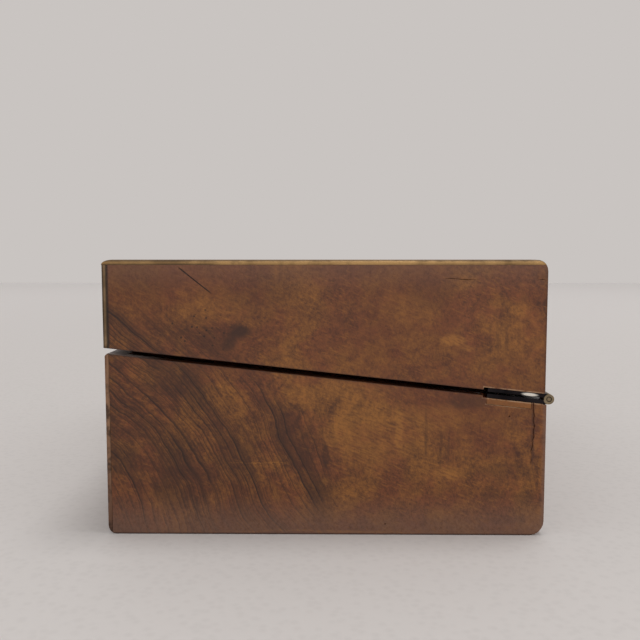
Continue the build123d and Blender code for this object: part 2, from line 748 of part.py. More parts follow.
def lid_veneers():
    rim = plane_z(LID_REAR, RIM) - RIM_GAP
    with BuildPart() as top:
        block(
            (-HALF + BRASS, HALF - BRASS),
            (LID_FRONT + BRASS, LID_REAR - BRASS),
            (HEIGHT - VENEER, HEIGHT),
        )
        cartouche_shape(Mode.SUBTRACT)
    save(top, "lid_top_veneer")

    with BuildPart() as plate:
        cartouche_shape(Mode.ADD)
    save(plate, "cartouche")

    with BuildPart() as front:
        cut_from(
            lid_outline,
            (-HALF + BRASS, HALF - BRASS),
            (LID_FRONT, LID_FRONT + VENEER),
            (rim, HEIGHT - BRASS),
        )
    save(front, "lid_front_veneer")

    with BuildPart() as rear:
        cut_from(
            lid_outline, (-SKIN, SKIN), (LID_REAR - VENEER, LID_REAR), (rim, HEIGHT - BRASS)
        )
        hinge_notches(1)
    save(rear, "lid_rear_veneer")

    for side, name in ((1, "lid_right_veneer"), (-1, "lid_left_veneer")):
        with BuildPart() as end:
            cut_from(
                lid_outline,
                on_side(side, SKIN, HALF),
                (LID_FRONT + BRASS, LID_REAR),
                (rim, HEIGHT - BRASS),
            )
            hinge_notches(1)
            if side > 0:
                crack(LID_SCRATCH, LID_SCRATCH_DEEP, across=(0, 1))
                for points in LID_CRACKS:
                    crack(points, VENEER, across=(0, 1))
        save(end, name)


def cartouche_shape(mode):
    """A blank plate with hollow corners, let in flush with the top."""
    with BuildSketch(Plane.XY.offset(HEIGHT - VENEER)) as shape:
        with Locations((0, (LID_FRONT + LID_REAR) / 2)):
            Rectangle(*CARTOUCHE)
            with GridLocations(CARTOUCHE[0], CARTOUCHE[1], 2, 2):
                Circle(CARTOUCHE_CORNER, mode=Mode.SUBTRACT)
    extrude(shape.sketch, amount=VENEER, mode=mode)


def brass():
    x_out, x_in = HALF, HALF - BRASS
    front_out, front_in = LID_FRONT, LID_FRONT + BRASS
    rear_out, rear_in = LID_REAR, LID_REAR - BRASS
    strips = (
        ((-x_out, front_out), (x_out, front_out), (x_in, front_in), (-x_in, front_in)),
        ((-x_out, rear_out), (x_out, rear_out), (x_in, rear_in), (-x_in, rear_in)),
        ((x_out, front_out), (x_out, rear_out), (x_in, rear_in), (x_in, front_in)),
        ((-x_out, front_out), (-x_out, rear_out), (-x_in, rear_in), (-x_in, front_in)),
    )
    with BuildPart() as edging:
        for points in strips:
            with BuildSketch(Plane.XY.offset(HEIGHT - BRASS)) as plan:
                with BuildLine():
                    Polyline(*points, close=True)
                make_face()
            extrude(plan.sketch, amount=BRASS)
        outer = edging.edges().filter_by(
            lambda edge: edge.center().Z > HEIGHT - PLAY
            and (
                abs(abs(edge.center().X) - HALF) < PLAY
                or abs(edge.center().Y - LID_FRONT) < PLAY
                or abs(edge.center().Y - LID_REAR) < PLAY
            )
        )
        fillet(outer, BRASS_ROUND)
    save(edging, "lid_brass_edging")

    with BuildPart() as corners:
        for side in (1, -1):
            with BuildSketch(Plane.YZ.offset(side * (HALF - BRASS / 2))) as profile:
                with BuildLine():
                    Polyline(
                        (front_out, plane_z(front_out, RIM)),
                        (front_in, plane_z(front_in, RIM)),
                        (front_in, HEIGHT - BRASS),
                        (front_out, HEIGHT - BRASS),
                        close=True,
                    )
                make_face()
            extrude(profile.sketch, amount=BRASS / 2, both=True)
        upright = corners.edges().filter_by(Axis.Z)
        outer = upright.filter_by(
            lambda edge: abs(edge.center().Y - front_out) < PLAY
            and abs(abs(edge.center().X) - HALF) < PLAY
        )
        fillet(outer, BRASS_ROUND)
    save(corners, "lid_brass_corners")


# ---- writing flaps -----------------------------------------------------------------------------
FLAP_NOSE_R = FLAP_THICK / 2
BASE_FLAP_S = slope_s(REAR_IN, -FLAP_MID) + FLAP_NOSE_R + FLAP_NOSE_PLAY
LID_FLAP_S = slope_s(LID_REAR_IN, FLAP_MID) + FLAP_NOSE_R + FLAP_NOSE_PLAY


def flap(name, way, pivot_s, free_y, overhang):
    """A writing board on pins at its hinge end. way is -1 in the base and 1 in the lid."""
    near, far, mid = way * FLAP_NEAR, way * FLAP_FAR, way * FLAP_MID
    free_s = min(slope_s(free_y, near), slope_s(free_y, far))
    with BuildPart() as board:
        with BuildSketch(Plane.YZ) as profile:
            with BuildLine():
                Polyline(
                    slope_yz(pivot_s, near),
                    (free_y, plane_z(free_y, near)),
                    (free_y, plane_z(free_y, far)),
                    slope_yz(pivot_s, far),
                )
                ThreePointArc(
                    slope_yz(pivot_s, far),
                    slope_yz(pivot_s - FLAP_NOSE_R, mid),
                    slope_yz(pivot_s, near),
                )
            make_face()
        extrude(profile.sketch, amount=FLAP_HALF, both=True)
        leather_x = (-FLAP_HALF + LEATHER_BORDER, FLAP_HALF - LEATHER_BORDER)
        leather_s = (pivot_s + LEATHER_BORDER, free_s - LEATHER_BORDER)
        leather_n = tuple(sorted((near, near + way * LEATHER)))
        slope_block(leather_x, leather_s, leather_n, Mode.SUBTRACT)
        for side in (1, -1):
            x_rod(
                *slope_yz(pivot_s, mid),
                FLAP_PIN_R + RUNNING,
                on_side(side, INSIDE + FLAP_PIN_IN_BOARD - FLAP_PIN_LENGTH - PLAY, HALF),
                Mode.SUBTRACT,
            )
        tab_s = (free_s - TAB_ON_BOARD, free_s + overhang)
        tab_n = tuple(sorted((near, near + way * TAB_THICK)))
        tab_x = (-TAB_WIDE / 2, TAB_WIDE / 2)
        slope_block(tab_x, tab_s, tab_n, Mode.SUBTRACT)
    save(board, f"{name}_board")

    with BuildPart() as leather:
        slope_block(leather_x, leather_s, leather_n)
    save(leather, f"{name}_leather")

    with BuildPart() as tab:
        slope_block(tab_x, tab_s, tab_n)
        fillet(tab.edges().filter_by(lambda edge: abs(edge.length - TAB_THICK) < PLAY), TAB_CORNER)
    save(tab, f"{name}_tab")


def flap_supports():
    for name, way, pivot_s, rear_s, free_y in (
        ("base", -1, BASE_FLAP_S, slope_s(REAR_IN, -FLAP_FAR), PARTITION_REAR),
        ("lid", 1, LID_FLAP_S, slope_s(LID_REAR_IN, FLAP_FAR), LID_FRONT_IN),
    ):
        n = tuple(sorted((way * (FLAP_FAR + PLAY), way * (FLAP_FAR + PLAY + LEDGE_THICK))))
        free_s = slope_s(free_y, way * (FLAP_FAR + LEDGE_THICK)) - PLAY * 10
        if way > 0:
            free_s = slope_s(free_y, FLAP_FAR) - PLAY * 10
        with BuildPart() as ledges:
            for side in (1, -1):
                slope_block(
                    on_side(side, INSIDE - LEDGE_WIDE, INSIDE),
                    (pivot_s + FLAP_NOSE_R * 2, free_s),
                    n,
                )
        save(ledges, f"{name}_flap_ledges")

        with BuildPart() as pins:
            for side in (1, -1):
                out = INSIDE + FLAP_PIN_IN_BOARD
                x_rod(
                    *slope_yz(pivot_s, way * FLAP_MID),
                    FLAP_PIN_R,
                    on_side(side, out - FLAP_PIN_LENGTH, out),
                )
        save(pins, f"{name}_flap_pins")


# ---- pen section -------------------------------------------------------------------------------
PEN_Y = (FRONT_IN, PARTITION_FRONT)
LEFT_WELL = (-INSIDE, -INSIDE + WELL_WIDE)
RIGHT_WELL = (INSIDE - WELL_WIDE, INSIDE)
NIB_BOX = (LEFT_WELL[1] + DIVIDER, LEFT_WELL[1] + DIVIDER + WELL_WIDE)
TRAY_X = (NIB_BOX[1] + DIVIDER, RIGHT_WELL[0] - DIVIDER)
PEN_MID_Y = (PEN_Y[0] + PEN_Y[1]) / 2
NIB_PIVOT = (PEN_Y[0] + NIB_LID_PLAY + NIB_LID_THICK / 2, NIB_LID_TOP - NIB_LID_THICK / 2)


def pen_section():
    with BuildPart() as floor_board:
        block((-INSIDE, INSIDE), PEN_Y, (PEN_FLOOR_Z, PEN_TOP_Z))
    save(floor_board, "pen_floor")

    with BuildPart() as partition:
        with BuildSketch(Plane.YZ) as profile:
            with BuildLine():
                Polyline(
                    (PARTITION_FRONT, PEN_FLOOR_Z),
                    (PARTITION_REAR, PEN_FLOOR_Z),
                    (PARTITION_REAR, plane_z(PARTITION_REAR, -FLAP_FAR - PLAY)),
                    (PARTITION_FRONT, plane_z(PARTITION_FRONT, -FLAP_FAR - PLAY)),
                    close=True,
                )
            make_face()
        extrude(profile.sketch, amount=INSIDE, both=True)
    save(partition, "pen_partition")

    with BuildPart() as dividers:
        for x in (
            (LEFT_WELL[1], NIB_BOX[0]),
            (NIB_BOX[1], TRAY_X[0]),
            (TRAY_X[1], RIGHT_WELL[0]),
        ):
            top = -RIM - DIVIDER_BELOW_RIM
            with BuildSketch(Plane.YZ.offset(x[0])) as profile:
                with BuildLine():
                    Polyline(
                        (PEN_Y[0], PEN_TOP_Z),
                        (PEN_Y[1], PEN_TOP_Z),
                        (PEN_Y[1], plane_z(PEN_Y[1], top)),
                        (PEN_Y[0], plane_z(PEN_Y[0], top)),
                        close=True,
                    )
                make_face()
            extrude(profile.sketch, amount=x[1] - x[0])
        rest_z = (PEN_TOP_Z, TRAY_TOP - TRAY_THICK)
        block((TRAY_X[0], TRAY_X[0] + TRAY_REST), PEN_Y, rest_z)
        block((TRAY_X[1] - TRAY_REST, TRAY_X[1]), PEN_Y, rest_z)
        for x in (NIB_BOX[0], NIB_BOX[1]):
            x_rod(
                *NIB_PIVOT,
                NIB_PIN_R + RUNNING,
                (x - NIB_PIN_REACH - PLAY, x + NIB_PIN_REACH + PLAY),
                Mode.SUBTRACT,
            )
    save(dividers, "pen_dividers")

    with BuildPart() as tray:
        block(
            (TRAY_X[0] + TRAY_PLAY, TRAY_X[1] - TRAY_PLAY),
            (PEN_Y[0] + TRAY_PLAY, PEN_Y[1] - TRAY_PLAY),
            (TRAY_TOP - TRAY_THICK, TRAY_TOP),
        )
        scoop_half = PEN_SECTION / 2 - TRAY_PLAY - TRAY_EDGE
        scoop_r = (scoop_half**2 + TRAY_SCOOP_DEEP**2) / (2 * TRAY_SCOOP_DEEP)
        scoop_z = TRAY_TOP - TRAY_SCOOP_DEEP + scoop_r
        scoop_end = scoop_half + TRAY_SCOOP_END
        ends = (TRAY_X[0] + scoop_end, TRAY_X[1] - scoop_end)
        x_rod(PEN_MID_Y, scoop_z, scoop_r, ends, Mode.SUBTRACT)
        for x in ends:
            with Locations((x, PEN_MID_Y, scoop_z)):
                Sphere(scoop_r, mode=Mode.SUBTRACT)
    save(tray, "pen_tray")

    with BuildPart() as nib_lid:
        lid_x = (NIB_BOX[0] + NIB_LID_PLAY, NIB_BOX[1] - NIB_LID_PLAY)
        lid_z = (NIB_LID_TOP - NIB_LID_THICK, NIB_LID_TOP)
        block(lid_x, (NIB_PIVOT[0], PEN_Y[1] - NIB_LID_PLAY), lid_z)
        x_rod(*NIB_PIVOT, NIB_LID_THICK / 2, lid_x)
        x_rod(*NIB_PIVOT, NIB_PIN_R, (NIB_BOX[0] - NIB_PIN_REACH, NIB_BOX[1] + NIB_PIN_REACH))
        knob = ((NIB_BOX[0] + NIB_BOX[1]) / 2, PEN_Y[1] - NIB_KNOB_IN, NIB_LID_TOP + NIB_KNOB_PROUD)
        with Locations(knob):
            Sphere(NIB_KNOB_R)
    save(nib_lid, "nib_box_lid")


def inkwells():
    glass_wide = min(WELL_WIDE, PEN_SECTION) - 2 * INKWELL_PLAY
    glass_z = (PEN_TOP_Z, PEN_TOP_Z + INKWELL_TALL)
    collar_z = (glass_z[1], glass_z[1] + COLLAR_TALL)
    cap_low = collar_z[1] + CAP_GAP
    hinge_y = PEN_MID_Y - COLLAR_R - CAP_HINGE_OUT
    hinge_z = collar_z[1] + CAP_GAP / 2
    hinge_half = CAP_HINGE_WIDE / 2
    slot_half = CAP_KNUCKLE / 2 + CAP_KNUCKLE_GAP
    slot_r = CAP_HINGE_R + CAP_KNUCKLE_GAP

    with BuildPart() as collars:
        for well in (LEFT_WELL, RIGHT_WELL):
            x = (well[0] + well[1]) / 2
            middle = (x, PEN_MID_Y, (collar_z[0] + collar_z[1]) / 2)
            lug_x = (x - hinge_half, x + hinge_half)
            slot_x = (x - slot_half, x + slot_half)
            with Locations(middle):
                Cylinder(COLLAR_R, COLLAR_TALL)
            lug_z = (collar_z[1] - CAP_LUG_THICK, collar_z[1])
            block(lug_x, (hinge_y, PEN_MID_Y - INKWELL_BORE_R), lug_z)
            x_rod(hinge_y, hinge_z, CAP_HINGE_R, lug_x)
            x_rod(hinge_y, hinge_z, slot_r, slot_x, Mode.SUBTRACT)
            block(slot_x, (hinge_y - slot_r, hinge_y + slot_r), collar_z, Mode.SUBTRACT)
            x_rod(hinge_y, hinge_z, CAP_PIN_R, lug_x)
            with Locations(middle):
                Cylinder(INKWELL_BORE_R, COLLAR_TALL * 2, mode=Mode.SUBTRACT)
    save(collars, "inkwell_collars")

    for well, hand in ((LEFT_WELL, "left"), (RIGHT_WELL, "right")):
        x = (well[0] + well[1]) / 2
        with BuildPart() as glass:
            with Locations((x, PEN_MID_Y, (glass_z[0] + glass_z[1]) / 2)):
                Box(glass_wide, glass_wide, INKWELL_TALL)
            fillet(glass.edges().filter_by(Axis.Z), INKWELL_CORNER)
            chamfer(glass.faces().sort_by(Axis.Z)[-1].edges(), INKWELL_SHOULDER)
            with Locations((x, PEN_MID_Y, glass_z[1] - (INKWELL_TALL - INKWELL_BASE) / 2)):
                Cylinder(INKWELL_BORE_R, INKWELL_TALL - INKWELL_BASE, mode=Mode.SUBTRACT)
        save(glass, f"{hand}_inkwell")

        knuckle_x = (x - CAP_KNUCKLE / 2, x + CAP_KNUCKLE / 2)
        with BuildPart() as cap:
            with Locations((x, PEN_MID_Y, cap_low + CAP_TALL / 2)):
                Cylinder(CAP_R, CAP_TALL)
            fillet(cap.faces().sort_by(Axis.Z)[-1].edges(), CAP_ROUND)
            hollow = CAP_TALL - CAP_WALL * 2
            with Locations((x, PEN_MID_Y, cap_low + hollow / 2)):
                Cylinder(CAP_R - CAP_WALL * 2, hollow, mode=Mode.SUBTRACT)
            lug_y = (hinge_y, PEN_MID_Y - CAP_R + CAP_WALL)
            block(knuckle_x, lug_y, (cap_low, cap_low + CAP_LUG_THICK))
            x_rod(hinge_y, hinge_z, CAP_HINGE_R, knuckle_x)
            x_rod(hinge_y, hinge_z, CAP_PIN_R + RUNNING, knuckle_x, Mode.SUBTRACT)
        save(cap, f"{hand}_inkwell_cap")


# ---- hidden drawers ----------------------------------------------------------------------------
DRAWER_Z = (FLOOR_BOARD, PEN_FLOOR_Z)
BAY = (2 * INSIDE - RAIL * (DRAWER_COUNT - 1)) / DRAWER_COUNT
PANEL_REAR = PARTITION_REAR - PANEL_PLAY
PANEL_FRONT = PANEL_REAR - PANEL_THICK
RAIL_END = PANEL_FRONT - SPRING_GAP - SPRING_BOW


def hidden_drawers():
    with BuildPart() as rails:
        for i in range(DRAWER_COUNT - 1):
            x = -INSIDE + BAY + i * (BAY + RAIL)
            block((x, x + RAIL), (FRONT_IN, RAIL_END), DRAWER_Z)
    save(rails, "drawer_rails")

    for i, name in zip(range(DRAWER_COUNT), ("left_drawer", "right_drawer")):
        bay_x = -INSIDE + i * (BAY + RAIL)
        x = (bay_x + DRAWER_PLAY, bay_x + BAY - DRAWER_PLAY)
        y = (FRONT_IN + DRAWER_PLAY, PANEL_FRONT - DRAWER_TO_PANEL)
        z = (DRAWER_Z[0] + DRAWER_LIFT, DRAWER_Z[1] - DRAWER_PLAY)
        with BuildPart() as drawer:
            block(x, y, z)
            block(
                (x[0] + DRAWER_WALL, x[1] - DRAWER_WALL),
                (y[0] + DRAWER_WALL, y[1] - DRAWER_WALL),
                (z[0] + DRAWER_FLOOR, z[1] + DRAWER_WALL),
                Mode.SUBTRACT,
            )
            with Locations(((x[0] + x[1]) / 2, y[1] + DRAWER_KNOB_PROUD, (z[0] + z[1]) / 2)):
                Sphere(DRAWER_KNOB_R)
        save(drawer, name)

    with BuildPart() as panel:
        block(
            (-INSIDE + PANEL_PLAY, INSIDE - PANEL_PLAY),
            (PANEL_FRONT, PANEL_REAR),
            (FLOOR_BOARD + PANEL_LIFT, PEN_FLOOR_Z - PANEL_PLAY),
        )
    save(panel, "hidden_panel")

    with BuildPart() as spring:
        mid_z = (DRAWER_Z[0] + DRAWER_Z[1]) / 2
        low, high = DRAWER_Z[0] + SPRING_MARGIN, DRAWER_Z[1] - SPRING_MARGIN
        with BuildSketch(Plane.YZ.offset(-INSIDE + BAY + SPRING_INSET)) as profile:
            with BuildLine():
                ThreePointArc((RAIL_END, low), (RAIL_END + SPRING_BOW, mid_z), (RAIL_END, high))
                Line((RAIL_END, high), (RAIL_END, high - SPRING_FOOT))
                ThreePointArc(
                    (RAIL_END, high - SPRING_FOOT),
                    (RAIL_END + SPRING_BOW - SPRING_THICK, mid_z),
                    (RAIL_END, low + SPRING_FOOT),
                )
                Line((RAIL_END, low + SPRING_FOOT), (RAIL_END, low))
            make_face()
        extrude(profile.sketch, amount=RAIL - SPRING_INSET * 2)
    save(spring, "panel_spring")


base_boards()
base_veneers()
escutcheon()
hinges()
lock()
lid_boards()
lid_veneers()
brass()
flap("base_flap", -1, BASE_FLAP_S, PARTITION_FRONT, TAB_OVERHANG)
flap("lid_flap", 1, LID_FLAP_S, LID_FRONT_IN + FLAP_END_PLAY, 0)
flap_supports()
pen_section()
inkwells()
hidden_drawers()
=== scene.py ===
import json
from math import cos, hypot, pi, radians, sin

import bmesh
import bpy
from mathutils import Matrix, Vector, noise

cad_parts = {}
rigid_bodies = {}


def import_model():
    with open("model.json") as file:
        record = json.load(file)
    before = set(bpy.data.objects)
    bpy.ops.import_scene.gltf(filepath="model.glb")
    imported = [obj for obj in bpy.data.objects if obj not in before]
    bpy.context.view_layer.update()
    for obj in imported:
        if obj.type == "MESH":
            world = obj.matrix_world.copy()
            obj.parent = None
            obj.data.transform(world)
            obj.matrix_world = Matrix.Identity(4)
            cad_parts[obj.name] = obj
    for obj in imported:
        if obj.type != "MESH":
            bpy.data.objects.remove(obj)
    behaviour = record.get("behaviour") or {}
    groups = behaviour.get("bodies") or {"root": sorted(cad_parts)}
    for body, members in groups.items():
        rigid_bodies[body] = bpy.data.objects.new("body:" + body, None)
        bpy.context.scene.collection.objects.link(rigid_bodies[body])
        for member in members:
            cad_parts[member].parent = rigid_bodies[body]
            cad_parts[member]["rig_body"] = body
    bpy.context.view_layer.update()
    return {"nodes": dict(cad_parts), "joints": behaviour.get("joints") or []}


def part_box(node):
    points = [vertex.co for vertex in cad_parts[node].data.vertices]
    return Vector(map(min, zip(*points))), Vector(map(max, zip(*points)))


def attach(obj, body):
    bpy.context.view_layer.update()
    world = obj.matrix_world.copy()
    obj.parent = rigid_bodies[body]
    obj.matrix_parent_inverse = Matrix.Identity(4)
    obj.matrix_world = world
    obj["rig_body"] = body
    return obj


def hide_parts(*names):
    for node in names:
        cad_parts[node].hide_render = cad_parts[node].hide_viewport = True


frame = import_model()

# An old folding writing box in walnut veneer, seen square on to its right-hand end. Lengths are in metres, in
# the frame of the CAD model: X runs across the width, -Y is the lock side, +Y the hinge side and +Z is up.

MM = 0.001


def srgb(red, green, blue):
    """A colour given as 0 to 255 screen values, in the linear values that shaders take."""
    def linear(value):
        value /= 255
        return value / 12.92 if value <= 0.04045 else ((value + 0.055) / 1.055) ** 2.4

    return (linear(red), linear(green), linear(blue), 1.0)


# ---- places read from the frame ---------------------------------------------------------------------

EDGING_LOW, EDGING_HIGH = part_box("lid_brass_edging")
HALF_WIDTH, TOP = EDGING_HIGH.x, EDGING_HIGH.z
LID_FRONT, LID_REAR = EDGING_LOW.y, EDGING_HIGH.y
BRASS = TOP - EDGING_LOW.z  # width and height of the edging
BASE_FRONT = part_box("base_front_veneer")[0].y
BASE_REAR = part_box("base_rear_veneer")[1].y
HINGE = Vector(next(joint for joint in frame["joints"] if joint["name"] == "lid_hinge")["pos_m"])
SLANT = radians(6.2)  # the cut between base and lid
RIM = 1.55 * MM  # from the cut's middle plane to each rim


def along_slant(s, n, x=0.0):
    """The point s up the slant from the hinge line and n square to it."""
    y = HINGE.y - s * cos(SLANT) + n * sin(SLANT)
    return Vector((x, y, HINGE.z + s * sin(SLANT) + n * cos(SLANT)))


def slant_of(point):
    """The s and n of a point: see along_slant."""
    forwards, up = HINGE.y - point[1], point[2] - HINGE.z
    return forwards * cos(SLANT) + up * sin(SLANT), up * cos(SLANT) - forwards * sin(SLANT)


def slant_range(node):
    """Half the width of a CAD node that lies along the slant, and its lowest and highest s and n."""
    places = [slant_of(vertex.co) for vertex in frame["nodes"][node].data.vertices]
    along, over = zip(*places)
    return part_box(node)[1].x, (min(along), max(along)), (min(over), max(over))


# ---- a small language for node materials ------------------------------------------------------------

class Wire:
    """A socket to calculate with: each sum, product or power becomes a Math node."""

    def __init__(self, paint, socket):
        self.paint, self.socket = paint, socket

    def __add__(self, other):
        return self.paint.math("ADD", self, other)

    def __sub__(self, other):
        return self.paint.math("SUBTRACT", self, other)

    def __rsub__(self, other):
        return self.paint.math("SUBTRACT", other, self)

    def __mul__(self, other):
        return self.paint.math("MULTIPLY", self, other)

    def __abs__(self):
        return self.paint.math("ABSOLUTE", self)

    def __pow__(self, exponent):
        return self.paint.math("POWER", self, exponent)


class Paint:
    """A material under construction. Any input may be a Wire, a number, a colour or a vector."""

    def __init__(self, name, **fixed):
        self.material = bpy.data.materials.new(name)
        self.material.use_nodes = True
        self.tree = self.material.node_tree
        self.tree.nodes.clear()
        self.shader = self.tree.nodes.new("ShaderNodeBsdfPrincipled")
        output = self.tree.nodes.new("ShaderNodeOutputMaterial")
        self.tree.links.new(self.shader.outputs[0], output.inputs[0])
        for socket, value in fixed.items():
            self.shader.inputs[socket.replace("_", " ").title().replace("Ior", "IOR")].default_value = value
        self.place = Wire(self, self.node("ShaderNodeTexCoord", {}).outputs["Object"])
        split = self.node("ShaderNodeSeparateXYZ", {"Vector": self.place})
        self.x, self.y, self.z = (Wire(self, socket) for socket in split.outputs)

    def slant(self):
        """How far up the slant the point is and how far off the hinge plane: see along_slant."""
        forwards, up = HINGE.y - self.y, self.z - HINGE.z
        return forwards * cos(SLANT) + up * sin(SLANT), up * cos(SLANT) - forwards * sin(SLANT)

    def feed(self, socket, value):
        """Link a Wire to an input, or set the input to a fixed value."""
        if isinstance(value, Wire):
            self.tree.links.new(value.socket, socket)
        else:
            socket.default_value = value

    def node(self, kind, inputs, **settings):
        """A new node with its inputs fed, found by name or number, and its settings made first."""
        made = self.tree.nodes.new(kind)
        for key, value in settings.items():
            setattr(made, key, value)
        for key, value in inputs.items():
            self.feed(made.inputs[key], value)
        return made

    def math(self, operation, *values):
        inputs = dict(enumerate(values))
        return Wire(self, self.node("ShaderNodeMath", inputs, operation=operation).outputs[0])

    def vector(self, x, y, z):
        inputs = {"X": x, "Y": y, "Z": z}
        return Wire(self, self.node("ShaderNodeCombineXYZ", inputs).outputs[0])

    def noise(self, vector, scale=1.0, detail=2.0, roughness=0.5, distortion=0.0):
        """Cloudy noise, mostly from 0.3 to 0.7."""
        inputs = {"Vector": vector, "Scale": scale, "Detail": detail, "Roughness": roughness}
        made = self.node("ShaderNodeTexNoise", {**inputs, "Distortion": distortion})
        return Wire(self, made.outputs["Fac"])

    def random(self, value):
        """A random number from 0 to 1 for each value."""
        made = self.node("ShaderNodeTexWhiteNoise", {}, noise_dimensions="1D")
        self.feed(made.inputs["W"], value)
        return Wire(self, made.outputs["Value"])

    def cells(self, vector, scale):
        """The distance to the nearest of many scattered points."""
        made = self.node("ShaderNodeTexVoronoi", {"Vector": vector, "Scale": scale})
        return Wire(self, made.outputs["Distance"])

    def ramp(self, value, low, high, start=0.0, end=1.0):
        """start below low, end above high, smooth between."""
        inputs = {"Value": value, "From Min": low, "From Max": high, "To Min": start, "To Max": end}
        made = self.node("ShaderNodeMapRange", inputs, interpolation_type="SMOOTHSTEP")
        return Wire(self, made.outputs["Result"])

    def spot(self, across, up, middle, size, soft=0.5):
        """1 inside an ellipse, 0 outside, with a soft rim."""
        offset = [(axis - at) * (1 / reach) for axis, at, reach in zip((across, up), middle, size)]
        distance = (offset[0] * offset[0] + offset[1] * offset[1]) ** 0.5
        return self.ramp(distance, 1 - soft, 1 + soft, 1.0, 0.0)

    def stroke(self, across, up, start, end, width):
        """1 along a thin line between two points, fading at its ends."""
        length = hypot(end[0] - start[0], end[1] - start[1])
        ahead = ((end[0] - start[0]) / length, (end[1] - start[1]) / length)
        right, over = across - start[0], up - start[1]
        along = right * ahead[0] + over * ahead[1]
        off = abs(over * ahead[0] - right * ahead[1])
        ends = self.ramp(along, 0.0, length * 0.1) * self.ramp(along, length * 0.8, length, 1.0, 0.0)
        return self.ramp(off, width * 0.3, width, 1.0, 0.0) * ends

    def mix(self, factor, first, second):
        """The first colour where the factor is 0 and the second where it is 1."""
        made = self.node("ShaderNodeMix", {0: factor, 6: first, 7: second}, data_type="RGBA")
        return Wire(self, made.outputs[2])

    def bump(self, height, depth):
        """A height from 0 to 1 over a depth in metres."""
        made = self.node("ShaderNodeBump", {"Height": height, "Distance": depth, "Strength": 1.0})
        self.tree.links.new(made.outputs[0], self.shader.inputs["Normal"])

    def finish(self, colour, roughness, metallic=None):
        """The material, with its colour and gloss fed to the shader."""
        self.feed(self.shader.inputs["Base Color"], colour)
        self.feed(self.shader.inputs["Roughness"], roughness)
        if metallic is not None:
            self.feed(self.shader.inputs["Metallic"], metallic)
        return self.material


# ---- walnut -----------------------------------------------------------------------------------------

WALNUT_PALE = srgb(156, 102, 46)
WALNUT_ROSY = srgb(136, 78, 44)
WALNUT_GOLD = srgb(164, 110, 50)
WALNUT_MID = srgb(108, 62, 31)
WALNUT_RED = srgb(100, 52, 29)
WALNUT_DARK = srgb(58, 34, 24)
WALNUT_LINE = srgb(26, 17, 15)
# Grey used for dust on the base's rear edge, and for the painted floor reflection along the foot and the
# painted shade along the top.
DUST_AND_SHEEN = srgb(112, 85, 72)
GLUE_AND_HIGHLIGHT = srgb(170, 138, 108)

LINE_PITCH, FINE_PITCH = 5.0 * MM, 1.9 * MM  # between growth lines, and between the fine ones
FLARE_TOP = 46 * MM  # below this height the flared lines spread outwards
FLARE_NEAR, FLARE_FAR = -85 * MM, -20 * MM  # the flare grows from none to all between these places
FLARE_TURN = 0.25  # radians; the streaks reach furthest in this direction
FLARE_NARROW = 45 * MM  # and this much less for each radian off it
FULL_WOBBLE = 6 * MM  # marks that reach less than this to a side have steadier outlines


